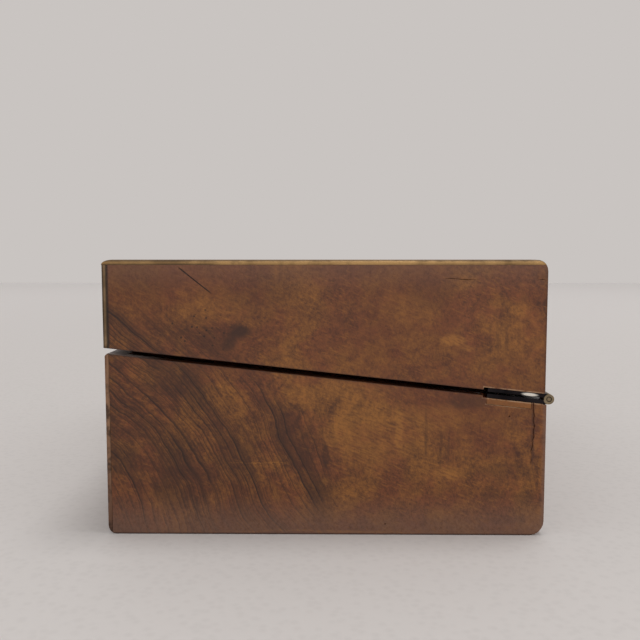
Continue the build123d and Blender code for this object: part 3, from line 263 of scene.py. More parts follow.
class Walnut(Paint):
    """Figured walnut on one flat sheet: dark growth lines that sweep round a far middle out to a reach,
    and golden mottled wood with a faint upright ripple beyond. u_axis and v_axis name the sheet's two axes,
    and flare is how strongly the lines spread outwards near the foot."""

    def __init__(self, name, u_axis, v_axis, middle, reach, seed, flare=0.0):
        super().__init__(name, ior=1.48, specular_ior_level=0.32, coat_weight=0.08, coat_roughness=0.3)
        axes = {"x": self.x, "y": self.y, "z": self.z}
        self.u, self.v = axes[u_axis], axes[v_axis]
        self.sheet = self.vector(self.u, self.v, seed)
        self.seed = seed
        wander = self.noise(self.sheet, 13.0, 1.0) - 0.5
        self.waver = self.noise(self.sheet, 42.0, 1.0) - 0.5
        shiver = self.noise(self.sheet, 210.0, 2.0) - 0.5
        du, dv = self.u - middle[0], self.v - middle[1]
        away = (du * du + dv * dv) ** 0.5
        self.turn = self.math("ARCTAN2", dv, du)
        radius = away + wander * 0.020 + self.waver * 0.0055 + shiver * 0.0012
        if flare:
            sunk = self.math("MAXIMUM", FLARE_TOP - self.v, 0.0)
            radius = radius - sunk * sunk * self.ramp(self.u, FLARE_NEAR, FLARE_FAR, 0.0, flare)
            away = away + abs(self.turn - FLARE_TURN) * FLARE_NARROW
        self.radius = radius
        self.streaked = self.ramp(away + self.waver * 0.035, reach - 10 * MM, reach + 8 * MM, 1.0, 0.0)

    def growth_lines(self, pitch, uneven, low, seed):
        """Dark lines with a soft shade on their far side. They lie a pitch apart, more or less by how uneven
        they are, and each has a strength that changes along it and has to pass low to show."""
        drift = self.noise(self.vector(self.radius * 40.0, self.turn * 0.8, seed), 1.0, 1.0)
        phase = self.radius * (1 / pitch) + drift * uneven
        line = self.math("FLOOR", phase)
        part = phase - line
        own = self.random(line + seed)
        fade = self.noise(self.vector(line * 3.7, self.turn * 7.0, seed + 1.0), 1.0, 2.0)
        strength = self.ramp(own * 0.7 + fade, low, low + 0.45)
        edge = self.ramp(part, 0.0, 0.07) * self.ramp(part, 0.07, 0.26, 1.0, 0.0)
        shade = self.ramp(part, 0.0, 0.10) * self.ramp(part, 0.1, 1.0, 1.0, 0.0)
        return edge * strength, shade * strength

    def wood(self, dark_marks=(), gold_marks=()):
        """The wood's colour with its soft marks: first the coarse tones, last the lines and pores."""
        u, v, seed = self.u, self.v, self.seed
        edge, shade = self.growth_lines(LINE_PITCH, 2.4, 0.60, seed + 2.0)
        fine_edge, fine_shade = self.growth_lines(FINE_PITCH, 2.0, 0.56, seed + 7.0)
        strands = self.noise(self.vector(self.radius * 900.0, self.turn * 13.0, seed + 4.0), 1.0, 2.0, 0.6)
        bands = self.noise(self.vector(self.radius * 55.0, self.turn * 3.0, seed), 1.0, 2.0, 0.6)

        cloud = self.noise(self.sheet, 17.0, 3.0, 0.6, 0.5)
        mottle = self.noise(self.sheet, 120.0, 4.0, 0.65, 0.4)
        fleck = self.noise(self.vector(u * 560.0, v * 430.0, seed + 9.0), 1.0, 4.0, 0.8)
        swell = self.ramp(self.noise(self.sheet, 22.0, 1.0), 0.48, 0.7)
        bars = self.noise(self.vector(u * 240.0 + self.waver * 9.0, v * 22.0, seed + 11.0), 1.0, 1.0)
        grain = self.noise(self.vector(self.radius * 1700.0, self.turn * 110.0, seed), 1.0, 3.0, 0.7)
        self.pores = self.ramp(grain, 0.60, 0.70)
        self.grain, self.fleck, self.mottle = grain, fleck, mottle

        tone = cloud * 0.32 + mottle * 0.60 + fleck * 1.05 + (bars - 0.5) * (swell * 0.6 + 0.15)
        tone = tone + grain * 0.50 + (strands - 0.5) * (self.streaked * 0.5 + 0.25)
        hue = self.ramp(self.noise(self.sheet, 34.0, 3.0, 0.6), 0.40, 0.60)
        pale = self.mix(hue, WALNUT_ROSY, WALNUT_PALE)
        colour = self.mix(self.ramp(tone, 0.82, 1.73), WALNUT_DARK, pale)
        slanting = self.vector(u * 330.0 + v * 760.0, u * 150.0 - v * 66.0, seed + 13.0)
        hairs = self.noise(slanting, 1.0, 2.0, 0.6)
        colour = self.mix(self.ramp(hairs, 0.55, 0.70) * 0.40, colour, WALNUT_PALE)
        colour = self.mix(self.ramp(hairs, 0.32, 0.44, 1.0, 0.0) * 0.30, colour, WALNUT_DARK)
        rosy = self.ramp(self.noise(self.sheet, 9.0, 3.0), 0.40, 0.64, 0.15, 0.5)
        colour = self.mix(rosy, colour, self.mix(self.ramp(mottle, 0.35, 0.65), WALNUT_RED, WALNUT_MID))
        wobble_u = self.waver * 0.010 + (mottle - 0.5) * 0.009
        wobble_v = (fleck - 0.5) * 0.003 + (cloud - 0.5) * 0.012

        def mark(middle, across, up):
            share = min(1.0, across / FULL_WOBBLE)
            return self.spot(u + wobble_u * share, v + wobble_v * share, middle, (across, up), 0.4)

        for *middle, across, up, strength in gold_marks:
            spot = mark(middle, across, up) * self.ramp(hairs, 0.35, 0.55, 0.4, 1.0)
            colour = self.mix(spot * strength, colour, WALNUT_GOLD)
        for *middle, across, up, strength in dark_marks:
            spot = mark(middle, across, up) * self.ramp(mottle, 0.30, 0.60, 0.45, 1.0)
            colour = self.mix(spot * strength, colour, WALNUT_DARK)
        colour = self.mix(self.streaked * self.ramp(bands, 0.42, 0.62) * 0.55, colour, WALNUT_DARK)
        colour = self.mix(self.streaked * (shade * 0.50), colour, WALNUT_DARK)
        colour = self.mix(self.streaked * (fine_shade * 0.40 + fine_edge * 0.55), colour, WALNUT_DARK)
        colour = self.mix(self.streaked * edge * 0.75, colour, WALNUT_LINE)
        return self.mix(self.pores * 0.45, colour, WALNUT_LINE)

    def polished(self, colour, relief=0.05 * MM):
        """Old shellac: satin, scuffed in places, with open pores."""
        scuffs = self.noise(self.place, 35.0, 4.0, 0.7)
        rough = self.ramp(scuffs, 0.3, 0.75, 0.36, 0.58) + self.pores * 0.15
        self.bump(self.grain * 0.35 + self.fleck * 0.35 - self.pores * 0.4, relief)
        return self.finish(colour, rough)


# Soft marks on the right-hand end: y and z of the middle, reach along y and z, strength.
DARK_MARKS = (
    (-0.0475, 0.1108, 0.0066, 0.0034, 0.95),
    (-0.0485, 0.1100, 0.0082, 0.0046, 0.55),
    (-0.0515, 0.1050, 0.0042, 0.0042, 0.75),
    (-0.0575, 0.1030, 0.0062, 0.0034, 0.30),
    (0.0880, 0.1080, 0.0007, 0.0085, 0.30),
    (0.0920, 0.1095, 0.0009, 0.0090, 0.28),
    (0.0970, 0.1080, 0.0009, 0.0100, 0.28),
    (0.1035, 0.1100, 0.0010, 0.0075, 0.25),
    (0.0000, 0.0440, 0.0022, 0.0066, 0.85),
    (-0.0010, 0.0180, 0.0075, 0.0190, 0.40),
    (0.0770, 0.0735, 0.0120, 0.0035, 0.60),
    (0.0980, 0.0365, 0.0150, 0.0042, 0.35),
    (0.0905, 0.0225, 0.0048, 0.0044, 0.40),
    (0.1085, 0.0205, 0.0052, 0.0040, 0.35),
    (0.0990, 0.0085, 0.0110, 0.0024, 0.35),
    (0.0545, 0.0560, 0.0008, 0.0120, 0.45),
    (0.0625, 0.0480, 0.0008, 0.0110, 0.45),
    (0.0668, 0.0480, 0.0007, 0.0100, 0.40),
    (0.1122, 0.0560, 0.0008, 0.0190, 0.60),
    (0.0560, 0.1330, 0.0110, 0.0085, 0.25),
    (-0.0980, 0.1390, 0.0180, 0.0090, 0.30),
    (-0.0350, 0.1330, 0.0200, 0.0100, 0.25),
)
GOLD_MARKS = (
    (0.0670, 0.1078, 0.0062, 0.0030, 0.55),
    (0.0745, 0.1035, 0.0045, 0.0018, 0.30),
    (0.0950, 0.1085, 0.0010, 0.0080, 0.25),
    (0.0670, 0.0345, 0.0080, 0.0038, 0.45),
    (0.0400, 0.0580, 0.0020, 0.0120, 0.35),
    (0.0590, 0.0640, 0.0140, 0.0070, 0.25),
    (0.0250, 0.0550, 0.0260, 0.0180, 0.30),
    (0.0090, 0.0800, 0.0260, 0.0050, 0.20),
    (0.0000, 0.0300, 0.0020, 0.0020, 0.50),
    (-0.0620, 0.1230, 0.0160, 0.0080, 0.08),
    (0.0420, 0.1240, 0.0120, 0.0080, 0.12),
    (-0.0370, 0.0395, 0.0150, 0.0003, 0.55),
    (-0.0100, 0.0010, 0.0600, 0.0006, 0.55),
)
SPECKLED = ((-0.070, 0.113), (0.020, 0.014))  # middle and reach of the specks by the stain
SCRATCH = ((-0.0789, 0.1462), (-0.0595, 0.1309))  # its upper and lower end
_, (PATCH_NEAR, PATCH_FAR), (PATCH_DEEP, PATCH_TOP) = slant_range("veneer_patch")


def age_right_end(p, colour):
    """A painted floor reflection greying the foot, painted shade greying the top, dust along the base's rear
    edge, specks and a scratch in the lid, glue below the let-in slip, glue with a painted highlight beside
    the hinge's notches, a painted shadow at the foot, painted shade along the rims and beside the brass, and
    darkening along the lid's rear edge."""
    # Painted reflection and shade: the foot is greyed as a painted reflection of the pale floor, and the top
    # is greyed as shade.
    floor_sheen_and_top_shade = p.ramp(p.z, 0.0, 0.026, 0.75, 0.0) + p.ramp(p.z, 0.130, 0.150, 0.0, 0.45)
    colour = p.mix(floor_sheen_and_top_shade * p.ramp(p.fleck, 0.25, 0.65, 0.45, 1.0), colour, DUST_AND_SHEEN)
    specks = p.ramp(p.cells(p.sheet, 300.0), 0.10, 0.24, 1.0, 0.0)
    speckled = p.spot(p.y, p.z, *SPECKLED, 0.6)
    colour = p.mix(specks * speckled * 0.85, colour, WALNUT_LINE)

    scratch = p.stroke(p.y, p.z, *SCRATCH, 0.5 * MM)
    colour = p.mix(scratch * 0.9, colour, WALNUT_LINE)

    s, n = p.slant()
    broken = p.ramp(p.mottle, 0.36, 0.56)
    in_patch = p.ramp(s, PATCH_NEAR - MM, PATCH_NEAR) * p.ramp(s, PATCH_FAR, PATCH_FAR + MM, 1.0, 0.0)
    under = p.ramp(abs(n - PATCH_DEEP), 0.10 * MM, 0.42 * MM, 1.0, 0.0) * in_patch
    # Pale lines along the notches' edges: glue, with a painted highlight where light catches the cut edge.
    lips = p.ramp(abs(abs(n) + PATCH_TOP), 0.35 * MM, 0.85 * MM, 1.0, 0.0)
    lips = lips * p.ramp(s, PATCH_FAR + 2.6 * MM, PATCH_FAR + 3 * MM, 1.0, 0.0)
    colour = p.mix((under + lips) * broken * 0.7, colour, GLUE_AND_HIGHLIGHT)
    in_lid = p.ramp(n, 0.0, 0.5 * MM)
    back = p.ramp(p.y, BASE_REAR - 3.0 * MM, BASE_REAR) * (1.0 - in_lid)
    colour = p.mix(back * p.ramp(p.fleck, 0.3, 0.6, 0.3, 0.8), colour, DUST_AND_SHEEN)
    lid_back = p.ramp(p.y, LID_REAR - 1.6 * MM, LID_REAR - 0.3 * MM) * in_lid
    # Painted shadow: a dark line at the very foot, where the box meets the floor.
    foot = p.ramp(p.z, 0.2 * MM, 1.2 * MM, 1.0, 0.0)
    # Painted shade: a dark line in the gap beside the corner strip's inner edge.
    beside_brass = p.ramp(p.y, LID_FRONT + BRASS + 0.4 * MM, LID_FRONT + BRASS + 1.3 * MM, 1.0, 0.0) * in_lid
    # Painted shade: darker along the rims of the gap between lid and base.
    rims = p.ramp(abs(abs(n) - RIM), 0.1 * MM, 0.7 * MM, 1.0, 0.0)
    # All painted shade, together with darkening along the lid's rear edge.
    dirt_and_shade = p.math("MINIMUM", lid_back * 0.4 + foot + beside_brass + rims * 0.6, 1.0)
    return p.mix(dirt_and_shade * p.ramp(p.fleck, 0.3, 0.55, 0.35, 0.85), colour, WALNUT_LINE)


def right_end_walnut():
    """The end that is seen most: lines that sweep round a middle low in front of the box."""
    p = Walnut("walnut_right_end", "y", "z", middle=(-0.193, -0.018), reach=0.204, seed=2.0, flare=7.0)
    return p.polished(age_right_end(p, p.wood(DARK_MARKS, GOLD_MARKS)))


def patch_walnut():
    """The let-in slip: paler wood than round it, aged the same."""
    p = Walnut("walnut_patch", "y", "z", middle=(0.0, -0.9), reach=0.1, seed=61.0)
    colour = p.mix(0.35, p.wood(), WALNUT_PALE)
    return p.polished(age_right_end(p, colour))


def plain_walnut(name, u_axis, v_axis, middle, reach, seed):
    """Walnut for a side that has no marks of its own."""
    p = Walnut(name, u_axis, v_axis, middle, reach, seed)
    return p.polished(p.wood())


# ---- other materials --------------------------------------------------------------------------------

def corner_wood():
    """The beads down the base's front corners: pale wood, rubbed bare, with dirt in its nicks."""
    p = Paint("rubbed_bead", ior=1.48, specular_ior_level=0.3)
    along = p.vector(p.x * 300.0, p.y * 300.0, p.z * 26.0)
    grain = p.noise(along, 1.0, 3.0, 0.65)
    dirt_and_shade = p.ramp(p.noise(p.place, 85.0, 3.0, 0.7), 0.47, 0.62)
    colour = p.mix(p.ramp(grain, 0.3, 0.7), srgb(88, 58, 42), srgb(140, 106, 80))
    colour = p.mix(p.ramp(p.z, 0.0, 0.075, 0.75, 0.0), colour, srgb(84, 55, 41))
    colour = p.mix(dirt_and_shade * 0.8, colour, srgb(44, 30, 24))
    p.bump(grain * 0.5 - dirt_and_shade * 0.5, 0.12 * MM)
    return p.finish(colour, p.ramp(dirt_and_shade, 0.0, 1.0, 0.5, 0.75))


LIT_RIM_FULL, LIT_RIM_GONE = 14 * MM, 34 * MM  # painted light on the rims, back from the base's front


def mahogany(name, along_axis, seed, tint=0.0):
    """Plain reddish board with long grain, ribbon figure and a few ink drips. Its slanted rim is darkened as
    painted shade from the gap, and made pale near the front as painted light coming in there."""
    p = Paint(name, ior=1.47, specular_ior_level=0.3)
    stretch = {"x": (5.0, 160.0, 160.0), "y": (160.0, 5.0, 160.0), "z": (160.0, 160.0, 5.0)}[along_axis]
    axes = (p.x, p.y, p.z)
    bend = (p.noise(p.place, 9.0, 1.0) - 0.5) * 2.4
    laid = p.vector(*(axis * factor + bend for axis, factor in zip(axes, stretch)))
    fine = p.vector(*(axis * factor * 7.0 for axis, factor in zip(axes, stretch)))
    rings = p.noise(laid, 1.0, 3.0, 0.6)
    pores = p.ramp(p.noise(fine, 1.0, 2.0, 0.6), 0.60, 0.72)
    ribbon = p.noise(p.place, 26.0, 2.0)
    tone = rings * 0.7 + ribbon * 0.45 + tint
    colour = p.mix(p.ramp(tone, 0.35, 0.85), srgb(84, 40, 24), srgb(142, 80, 46))
    colour = p.mix(pores * 0.55, colour, srgb(44, 22, 15))
    soiled = p.ramp(p.noise(p.place, 15.0, 4.0, 0.65), 0.50, 0.72, 0.0, 0.6)
    colour = p.mix(soiled, colour, srgb(62, 38, 28))
    ink = p.ramp(p.noise(p.vector(p.x, p.y, p.z * 0.6 + seed), 60.0, 2.0, 0.4), 0.755, 0.77)
    colour = p.mix(ink * 0.7, colour, srgb(26, 24, 34))
    # Painted shade: the slanted rim, where it lines the gap between lid and base, is darkened.
    rim = p.ramp(abs(p.slant()[1]), RIM + 0.05 * MM, RIM + 0.4 * MM, 1.0, 0.0)
    colour = p.mix(rim * 0.75, colour, srgb(40, 27, 22))
    # Painted light: the rim turns pale near the base's front, where light comes in through the gap.
    lit_rim_front = rim * p.ramp(p.y, BASE_FRONT + LIT_RIM_FULL, BASE_FRONT + LIT_RIM_GONE, 1.0, 0.0)
    colour = p.mix(lit_rim_front * 0.8, colour, srgb(150, 134, 128))
    p.bump(rings * 0.3 - pores * 0.5, 0.07 * MM)
    rough = p.ramp(ribbon, 0.3, 0.7, 0.42, 0.62) + pores * 0.12
    return p.finish(colour, rough - rim * 0.18)


def brass(name, bright, dull, grime_and_shade, roughness, painted_glint=None, across=None, barrel=None):
    """Old brass: bright where it is rubbed, brown in patches, with fine scratches. A spot given up the slant
    paints a near-white highlight on a hinge leaf, across tells how far a point is over a strip, to find its
    outer arris and its joint, both painted darker, and barrel is the colour round the hinge line."""
    p = Paint(name)
    patches = p.ramp(p.noise(p.place, 60.0, 4.0, 0.55), 0.34, 0.70)
    stains_and_shade = p.ramp(p.noise(p.place, 230.0, 3.0, 0.6), 0.50, 0.72, 0.0, 0.55)
    scratches = p.noise(p.vector(p.x * 2600.0, p.y * 500.0, p.z * 1100.0), 1.0, 2.0, 0.6)
    colour = p.mix(patches, bright, dull)
    if across:
        over, joint_darkening = across(p)
        # Painted shade and soiling: the joint with the wood is darkened, most along the front of the top
        # strip; painted shade: the outer arris is darkened too.
        joint = p.ramp(over, BRASS * 0.62, BRASS * 0.90) * joint_darkening
        arris = p.ramp(over, BRASS * 0.30, BRASS * 0.48, 0.8, 0.0)
        stains_and_shade = p.math("MAXIMUM", stains_and_shade * 0.7, p.math("MAXIMUM", joint, arris))
    colour = p.mix(stains_and_shade * 0.8, colour, grime_and_shade)
    if barrel:
        round_pin = p.spot(p.y, p.z, (HINGE.y, HINGE.z), (BARREL, BARREL), 0.06)
        colour = p.mix(round_pin, colour, p.mix(patches * 0.6, barrel, grime_and_shade))
        seam = p.spot(p.y, p.z, (HINGE.y, HINGE.z), (BARREL / 2, BARREL / 2), 0.08)
        colour = p.mix(seam, colour, grime_and_shade)
    # Painted highlight: a near-white glint on the hinge leaf.
    if painted_glint:
        rubbed = p.spot(*p.slant(), *painted_glint, 0.35)
        colour = p.mix(rubbed, colour, srgb(226, 221, 212))
        stains_and_shade = stains_and_shade * (1.0 - rubbed)
    rough = p.ramp(patches, 0.0, 1.0, roughness - 0.10, roughness + 0.10) + stains_and_shade * 0.2 + scratches * 0.06
    p.bump(scratches * 0.3 + patches * 0.3 - stains_and_shade * 0.3, 0.03 * MM)
    metal = p.ramp(stains_and_shade, 0.0, 1.0, 1.0, 0.55)
    return p.finish(colour, rough, metal)


def iron():
    """Screws, bolt and spring: brushed, with specks of rust."""
    p = Paint("dull_iron")
    rust = p.ramp(p.noise(p.place, 420.0, 4.0, 0.65), 0.48, 0.64)
    brushed = p.noise(p.vector(p.x * 300.0, p.y * 3000.0, p.z * 3000.0), 1.0, 2.0)
    colour = p.mix(rust, srgb(128, 124, 118), srgb(92, 62, 44))
    p.bump(brushed * 0.3 + rust * 0.6, 0.03 * MM)
    return p.finish(colour, p.ramp(rust, 0.0, 1.0, 0.34, 0.75), p.ramp(rust, 0.0, 1.0, 1.0, 0.35))


def glass():
    """Pressed glass with slight waves and old smears."""
    p = Paint("pressed_glass", ior=1.5, transmission_weight=0.9)
    waves = p.noise(p.place, 90.0, 2.0)
    smears = p.ramp(p.noise(p.place, 180.0, 4.0, 0.6), 0.5, 0.75)
    p.bump(waves, 0.12 * MM)
    tint = p.mix(smears, srgb(226, 238, 234), srgb(196, 210, 208))
    return p.finish(tint, p.ramp(smears, 0.0, 1.0, 0.03, 0.22))


def ink():
    """Ink that has dried to a crust in places."""
    p = Paint("dried_ink", ior=1.4)
    crust = p.noise(p.place, 300.0, 3.0)
    p.bump(crust, 0.1 * MM)
    colour = p.mix(p.ramp(crust, 0.4, 0.6), srgb(16, 17, 30), srgb(36, 36, 58))
    return p.finish(colour, p.ramp(crust, 0.35, 0.65, 0.12, 0.5))


GILT_LINES = ((5.2 * MM, 5.9 * MM), (10.6 * MM, 11.0 * MM))  # from the leather's edge
GILT_PITCH = 4.2 * MM  # of the scroll between the two gilt lines
GILT_SWING = 1.1 * MM


def leather(name, node):
    """Green skiver with a tooled and gilt border, scuffed where hands and elbows rub."""
    half, (near, far), _ = slant_range(node)
    p = Paint(name, ior=1.45, specular_ior_level=0.35)
    along = p.slant()[0]
    from_side = half - abs(p.x)
    from_end = p.math("MINIMUM", along - near, far - along)
    inset = p.math("MINIMUM", from_side, from_end)
    gilt = None
    for start, end in GILT_LINES:
        line = p.ramp(inset, start, start + 0.1 * MM) * p.ramp(inset, end - 0.1 * MM, end, 1.0, 0.0)
        gilt = line if gilt is None else p.math("MAXIMUM", gilt, line)
    middle = (GILT_LINES[0][1] + GILT_LINES[1][0]) / 2
    swing = [p.math("SINE", axis * (2 * pi / GILT_PITCH)) * GILT_SWING for axis in (p.x, along)]
    on_end = p.ramp(from_side - from_end, 0.0, 0.01 * MM)
    wave = p.mix(on_end, swing[1], swing[0])
    scroll = p.ramp(abs(inset - middle - wave), 0.16 * MM, 0.30 * MM, 1.0, 0.0)
    gilt = p.math("MAXIMUM", gilt, scroll)
    rubbed = p.ramp(p.noise(p.place, 55.0, 4.0, 0.7), 0.36, 0.56, 1.0, 0.0)
    gilt = gilt * (1.0 - rubbed * 0.8)
    pebble = p.cells(p.place, 900.0)
    creases = p.noise(p.place, 210.0, 3.0, 0.6)
    worn = p.ramp(p.noise(p.place, 16.0, 5.0, 0.65), 0.50, 0.66) * 0.55 + p.ramp(inset, 0.0, 3 * MM, 0.5, 0.0)
    colour = p.mix(p.ramp(creases, 0.3, 0.7), srgb(26, 44, 30), srgb(52, 72, 48))
    colour = p.mix(worn, colour, srgb(112, 92, 62))
    blot = p.ramp(p.noise(p.place, 34.0, 2.0), 0.69, 0.705)
    colour = p.mix(blot * 0.9, colour, srgb(18, 18, 26))
    colour = p.mix(gilt, colour, srgb(206, 164, 84))
    p.bump(pebble * 0.6 + creases * 0.4 - gilt * 0.5, 0.12 * MM)
    return p.finish(colour, p.ramp(worn, 0.0, 0.6, 0.42, 0.68) - gilt * 0.12, gilt * 0.9)


THREAD = 9000.0  # radians a metre, which makes a thread 0.35 mm wide


def ribbon():
    """Faded green silk."""
    p = Paint("pull_tab_ribbon", sheen_weight=0.4)
    weave = p.math("SINE", p.x * THREAD) * p.math("SINE", p.y * THREAD)
    fade = p.noise(p.place, 90.0, 3.0)
    colour = p.mix(p.ramp(fade, 0.35, 0.65), srgb(44, 58, 38), srgb(92, 88, 56))
    colour = p.mix(p.ramp(weave, -1.0, 1.0, 0.0, 0.35), colour, srgb(120, 112, 76))
    p.bump(weave * 0.5 + 0.5, 0.06 * MM)
    return p.finish(colour, 0.8)


SHADED_JOINT_FRONT = (-70 * MM, -45 * MM)  # the joint's painted shade and soiling fade out between these places


def over_edging(p):
    """How far a point is from the outer arris of the top edging, over its top or down its side, and how dark
    its joint with the wood is made, with soiling and painted shade: most at the front."""
    inwards = p.math("MINIMUM", HALF_WIDTH - abs(p.x), p.math("MINIMUM", p.y - LID_FRONT, LID_REAR - p.y))
    return p.math("MAXIMUM", inwards, TOP - p.z), p.ramp(p.y, *SHADED_JOINT_FRONT, 0.7, 0.0)


def over_corner(p):
    """The same for the strips down the lid's front corners."""
    return p.math("MAXIMUM", HALF_WIDTH - abs(p.x), p.y - LID_FRONT), 1.0


# Each brass has its bright, dull and dark colour; the dark one paints soiling, and painted shade on the
# strips' arris and joint.
AGED_BRASS = (srgb(190, 156, 98), srgb(150, 120, 74), srgb(84, 66, 44))
# Painted shade: the edging's and, darker still, the corner strips' colours are browner copies of the aged
# brass, for faces that reflect a dark room.
EDGING_BRASS = (srgb(178, 143, 96), srgb(124, 99, 68), srgb(62, 49, 36))
STRIP_BRASS = (srgb(148, 122, 94), srgb(112, 92, 70), srgb(48, 38, 29))
HINGE_BRASS = (srgb(42, 38, 40), srgb(27, 24, 26), srgb(12, 10, 11))
BARREL_BRASS = (srgb(150, 134, 108), srgb(112, 98, 78), srgb(52, 44, 36))
BARREL = 2.9 * MM  # reach of the hinge barrel's colour round the hinge line


def materials():
    """All materials, by the names that build() uses."""
    return {
        "right_end": right_end_walnut(),
        "left_end": plain_walnut("walnut_left_end", "y", "z", middle=(0.30, -0.12), reach=0.33, seed=14.0),
        "front": plain_walnut("walnut_front", "x", "z", middle=(0.05, -0.40), reach=0.47, seed=23.0),
        "rear": plain_walnut("walnut_rear", "x", "z", middle=(-0.1, 0.6), reach=0.55, seed=31.0),
        "top": plain_walnut("walnut_top", "x", "y", middle=(-0.3, -0.25), reach=0.42, seed=45.0),
        "bead": corner_wood(),
        "mahogany_across": mahogany("mahogany_across", "x", seed=3.0),
        "mahogany_deep": mahogany("mahogany_deep", "y", seed=5.0),
        "mahogany_light": mahogany("mahogany_light", "x", seed=8.0, tint=0.12),
        "brass": brass("aged_brass", *AGED_BRASS, roughness=0.34),
        "edging": brass("edging_brass", *EDGING_BRASS, roughness=0.36, across=over_edging),
        "corner_strip": brass("corner_strip_brass", *STRIP_BRASS, roughness=0.40, across=over_corner),
        "hinge": brass(
            "hinge_brass", *HINGE_BRASS,
            roughness=0.42,
            painted_glint=((10.6 * MM, 1.5 * MM), (4.0 * MM, 0.8 * MM)),
            barrel=BARREL_BRASS[0],
        ),
        "barrel": brass("barrel_brass", *BARREL_BRASS, roughness=0.42),
        "patch": patch_walnut(),
        "iron": iron(),
        "glass": glass(),
        "ink": ink(),
        "base_leather": leather("base_flap_skiver", "base_flap_leather"),
        "lid_leather": leather("lid_flap_skiver", "lid_flap_leather"),
        "ribbon": ribbon(),
    }


# ---- pieces -----------------------------------------------------------------------------------------

def add_piece(name, mesh, material, body, slot, *replaced):
    """A new smoothly shaded piece from a finished bmesh. It rides on a body and stands in for CAD nodes."""
    data = bpy.data.meshes.new(name)
    mesh.normal_update()
    mesh.to_mesh(data)
    mesh.free()
    data.polygons.foreach_set("use_smooth", [True] * len(data.polygons))
    data.materials.append(material)
    piece = bpy.data.objects.new(name, data)
    bpy.context.collection.objects.link(piece)
    smooth = piece.modifiers.new("even_normals", "WEIGHTED_NORMAL")
    smooth.keep_sharp = True
    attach(piece, body)
    if replaced:
        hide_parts(*replaced)


# Where the lid's top is worn round, seen from its end: the face, its side, reach along y and along z.
WORN_CORNERS = ((LID_REAR, 1, 6.0 * MM, 6.0 * MM), (LID_FRONT, -1, 6.0 * MM, 3.0 * MM))
UNDER_BRASS = {"veneer": 0.05 * MM, "board": 0.3 * MM}  # how far each layer lies inside the worn arcs
UNDER_CORNERS = {
    f"lid_{part}_{kind}": layer
    for kind, layer in UNDER_BRASS.items()
    for part in ("right", "left", "front", "rear", "top")
}
ARC_STEP = 15  # degrees


def cut_near(mesh, touches, place, normal):
    """Cut the faces with a corner that touches() accepts along a plane, so that they can bend there. The
    parts are kept in order, so that every run cuts alike."""
    near = [face for face in mesh.faces if any(touches(vertex.co) for vertex in face.verts)]
    parts = dict.fromkeys(near)
    for face in near:
        parts.update(dict.fromkeys(face.edges))
        parts.update(dict.fromkeys(face.verts))
    bmesh.ops.bisect_plane(mesh, geom=list(parts), dist=0.001 * MM, plane_co=place, plane_no=normal)


def wear_corners(mesh, layer):
    """Bring what stands outside the lid's worn corners in to their arcs, which lie a layer deeper for what
    is under the brass."""
    for face, side, reach, drop in WORN_CORNERS:
        middle_y, middle_z = face - side * reach, TOP - drop

        def touches(point):
            return (point.y - middle_y) * side > -MM and point.z > middle_z - MM

        for angle in range(0, 90, ARC_STEP):
            risen = sin(radians(angle))
            cut_near(mesh, touches, Vector((0, middle_y + side * reach * risen, 0)), Vector((0, 1, 0)))
            cut_near(mesh, touches, Vector((0, 0, middle_z + drop * risen)), Vector((0, 0, 1)))
        for vertex in mesh.verts:
            across = (vertex.co.y - middle_y) * side / (reach - layer)
            up = (vertex.co.z - middle_z) / (drop - layer)
            if across > 0 and up > 0 and hypot(across, up) > 1:
                away = hypot(across, up)
                vertex.co.y = middle_y + (vertex.co.y - middle_y) / away
                vertex.co.z = middle_z + (vertex.co.z - middle_z) / away


SHARP = radians(28)  # edges that turn more than this are eased
BIG_FACE = 25 * MM * MM  # faces larger than this stay flat when their edges wear


def worn_copy(node, material, rounding, wear=0.0, step=3.2 * MM, keep_sharp=()):
    """A copy of a CAD node with eased edges that replaces it. With wear, the edges are cut a step apart and
    wander inwards by about the wear. Edges inside a keep_sharp box, given by two corners, stay sharp."""
    source = frame["nodes"][node]
    mesh = bmesh.new()
    mesh.from_mesh(source.data)
    bmesh.ops.remove_doubles(mesh, verts=mesh.verts, dist=0.002 * MM)
    bmesh.ops.dissolve_limit(mesh, angle_limit=radians(0.4), verts=mesh.verts, edges=mesh.edges)

    def eased(edge):
        if len(edge.link_faces) != 2 or edge.calc_face_angle(0.0) < SHARP:
            return False
        middle = (edge.verts[0].co + edge.verts[1].co) / 2
        return not any(
            all(low[i] <= middle[i] <= high[i] for i in range(3)) for low, high in keep_sharp
        )

    if wear:
        for edge in [edge for edge in mesh.edges if eased(edge)]:
            cuts = int(edge.calc_length() / step)
            if cuts:
                bmesh.ops.subdivide_edges(mesh, edges=[edge], cuts=cuts)
    edges = [edge for edge in mesh.edges if eased(edge)]
    made = bmesh.ops.bevel(
        mesh, geom=edges, offset=rounding, offset_type="OFFSET", segments=3, profile=0.5,
        affect="EDGES", clamp_overlap=True,
    )
    if wear:
        mesh.normal_update()
        big_faces = {face for face in mesh.faces if face.calc_area() > BIG_FACE}
        for vertex in dict.fromkeys(made["verts"]):
            bite = noise.noise(vertex.co * 85.0) * 0.6 + noise.noise(vertex.co * 330.0) * 0.6 + 0.35
            chip = max(0.0, noise.noise(vertex.co * 40.0 + Vector((7.0, 3.0, 1.0))) - 0.32) * 3.0
            shift = vertex.normal * (-wear * max(0.0, bite + chip))
            for face in vertex.link_faces:
                if face in big_faces:
                    shift -= face.normal * shift.dot(face.normal)
            vertex.co += shift
    if node in UNDER_CORNERS:
        wear_corners(mesh, UNDER_CORNERS[node])
    bmesh.ops.triangulate(mesh, faces=[face for face in mesh.faces if len(face.verts) > 4])
    add_piece(f"worn_{node}", mesh, material, source["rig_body"], source.data.materials[0].name, node)


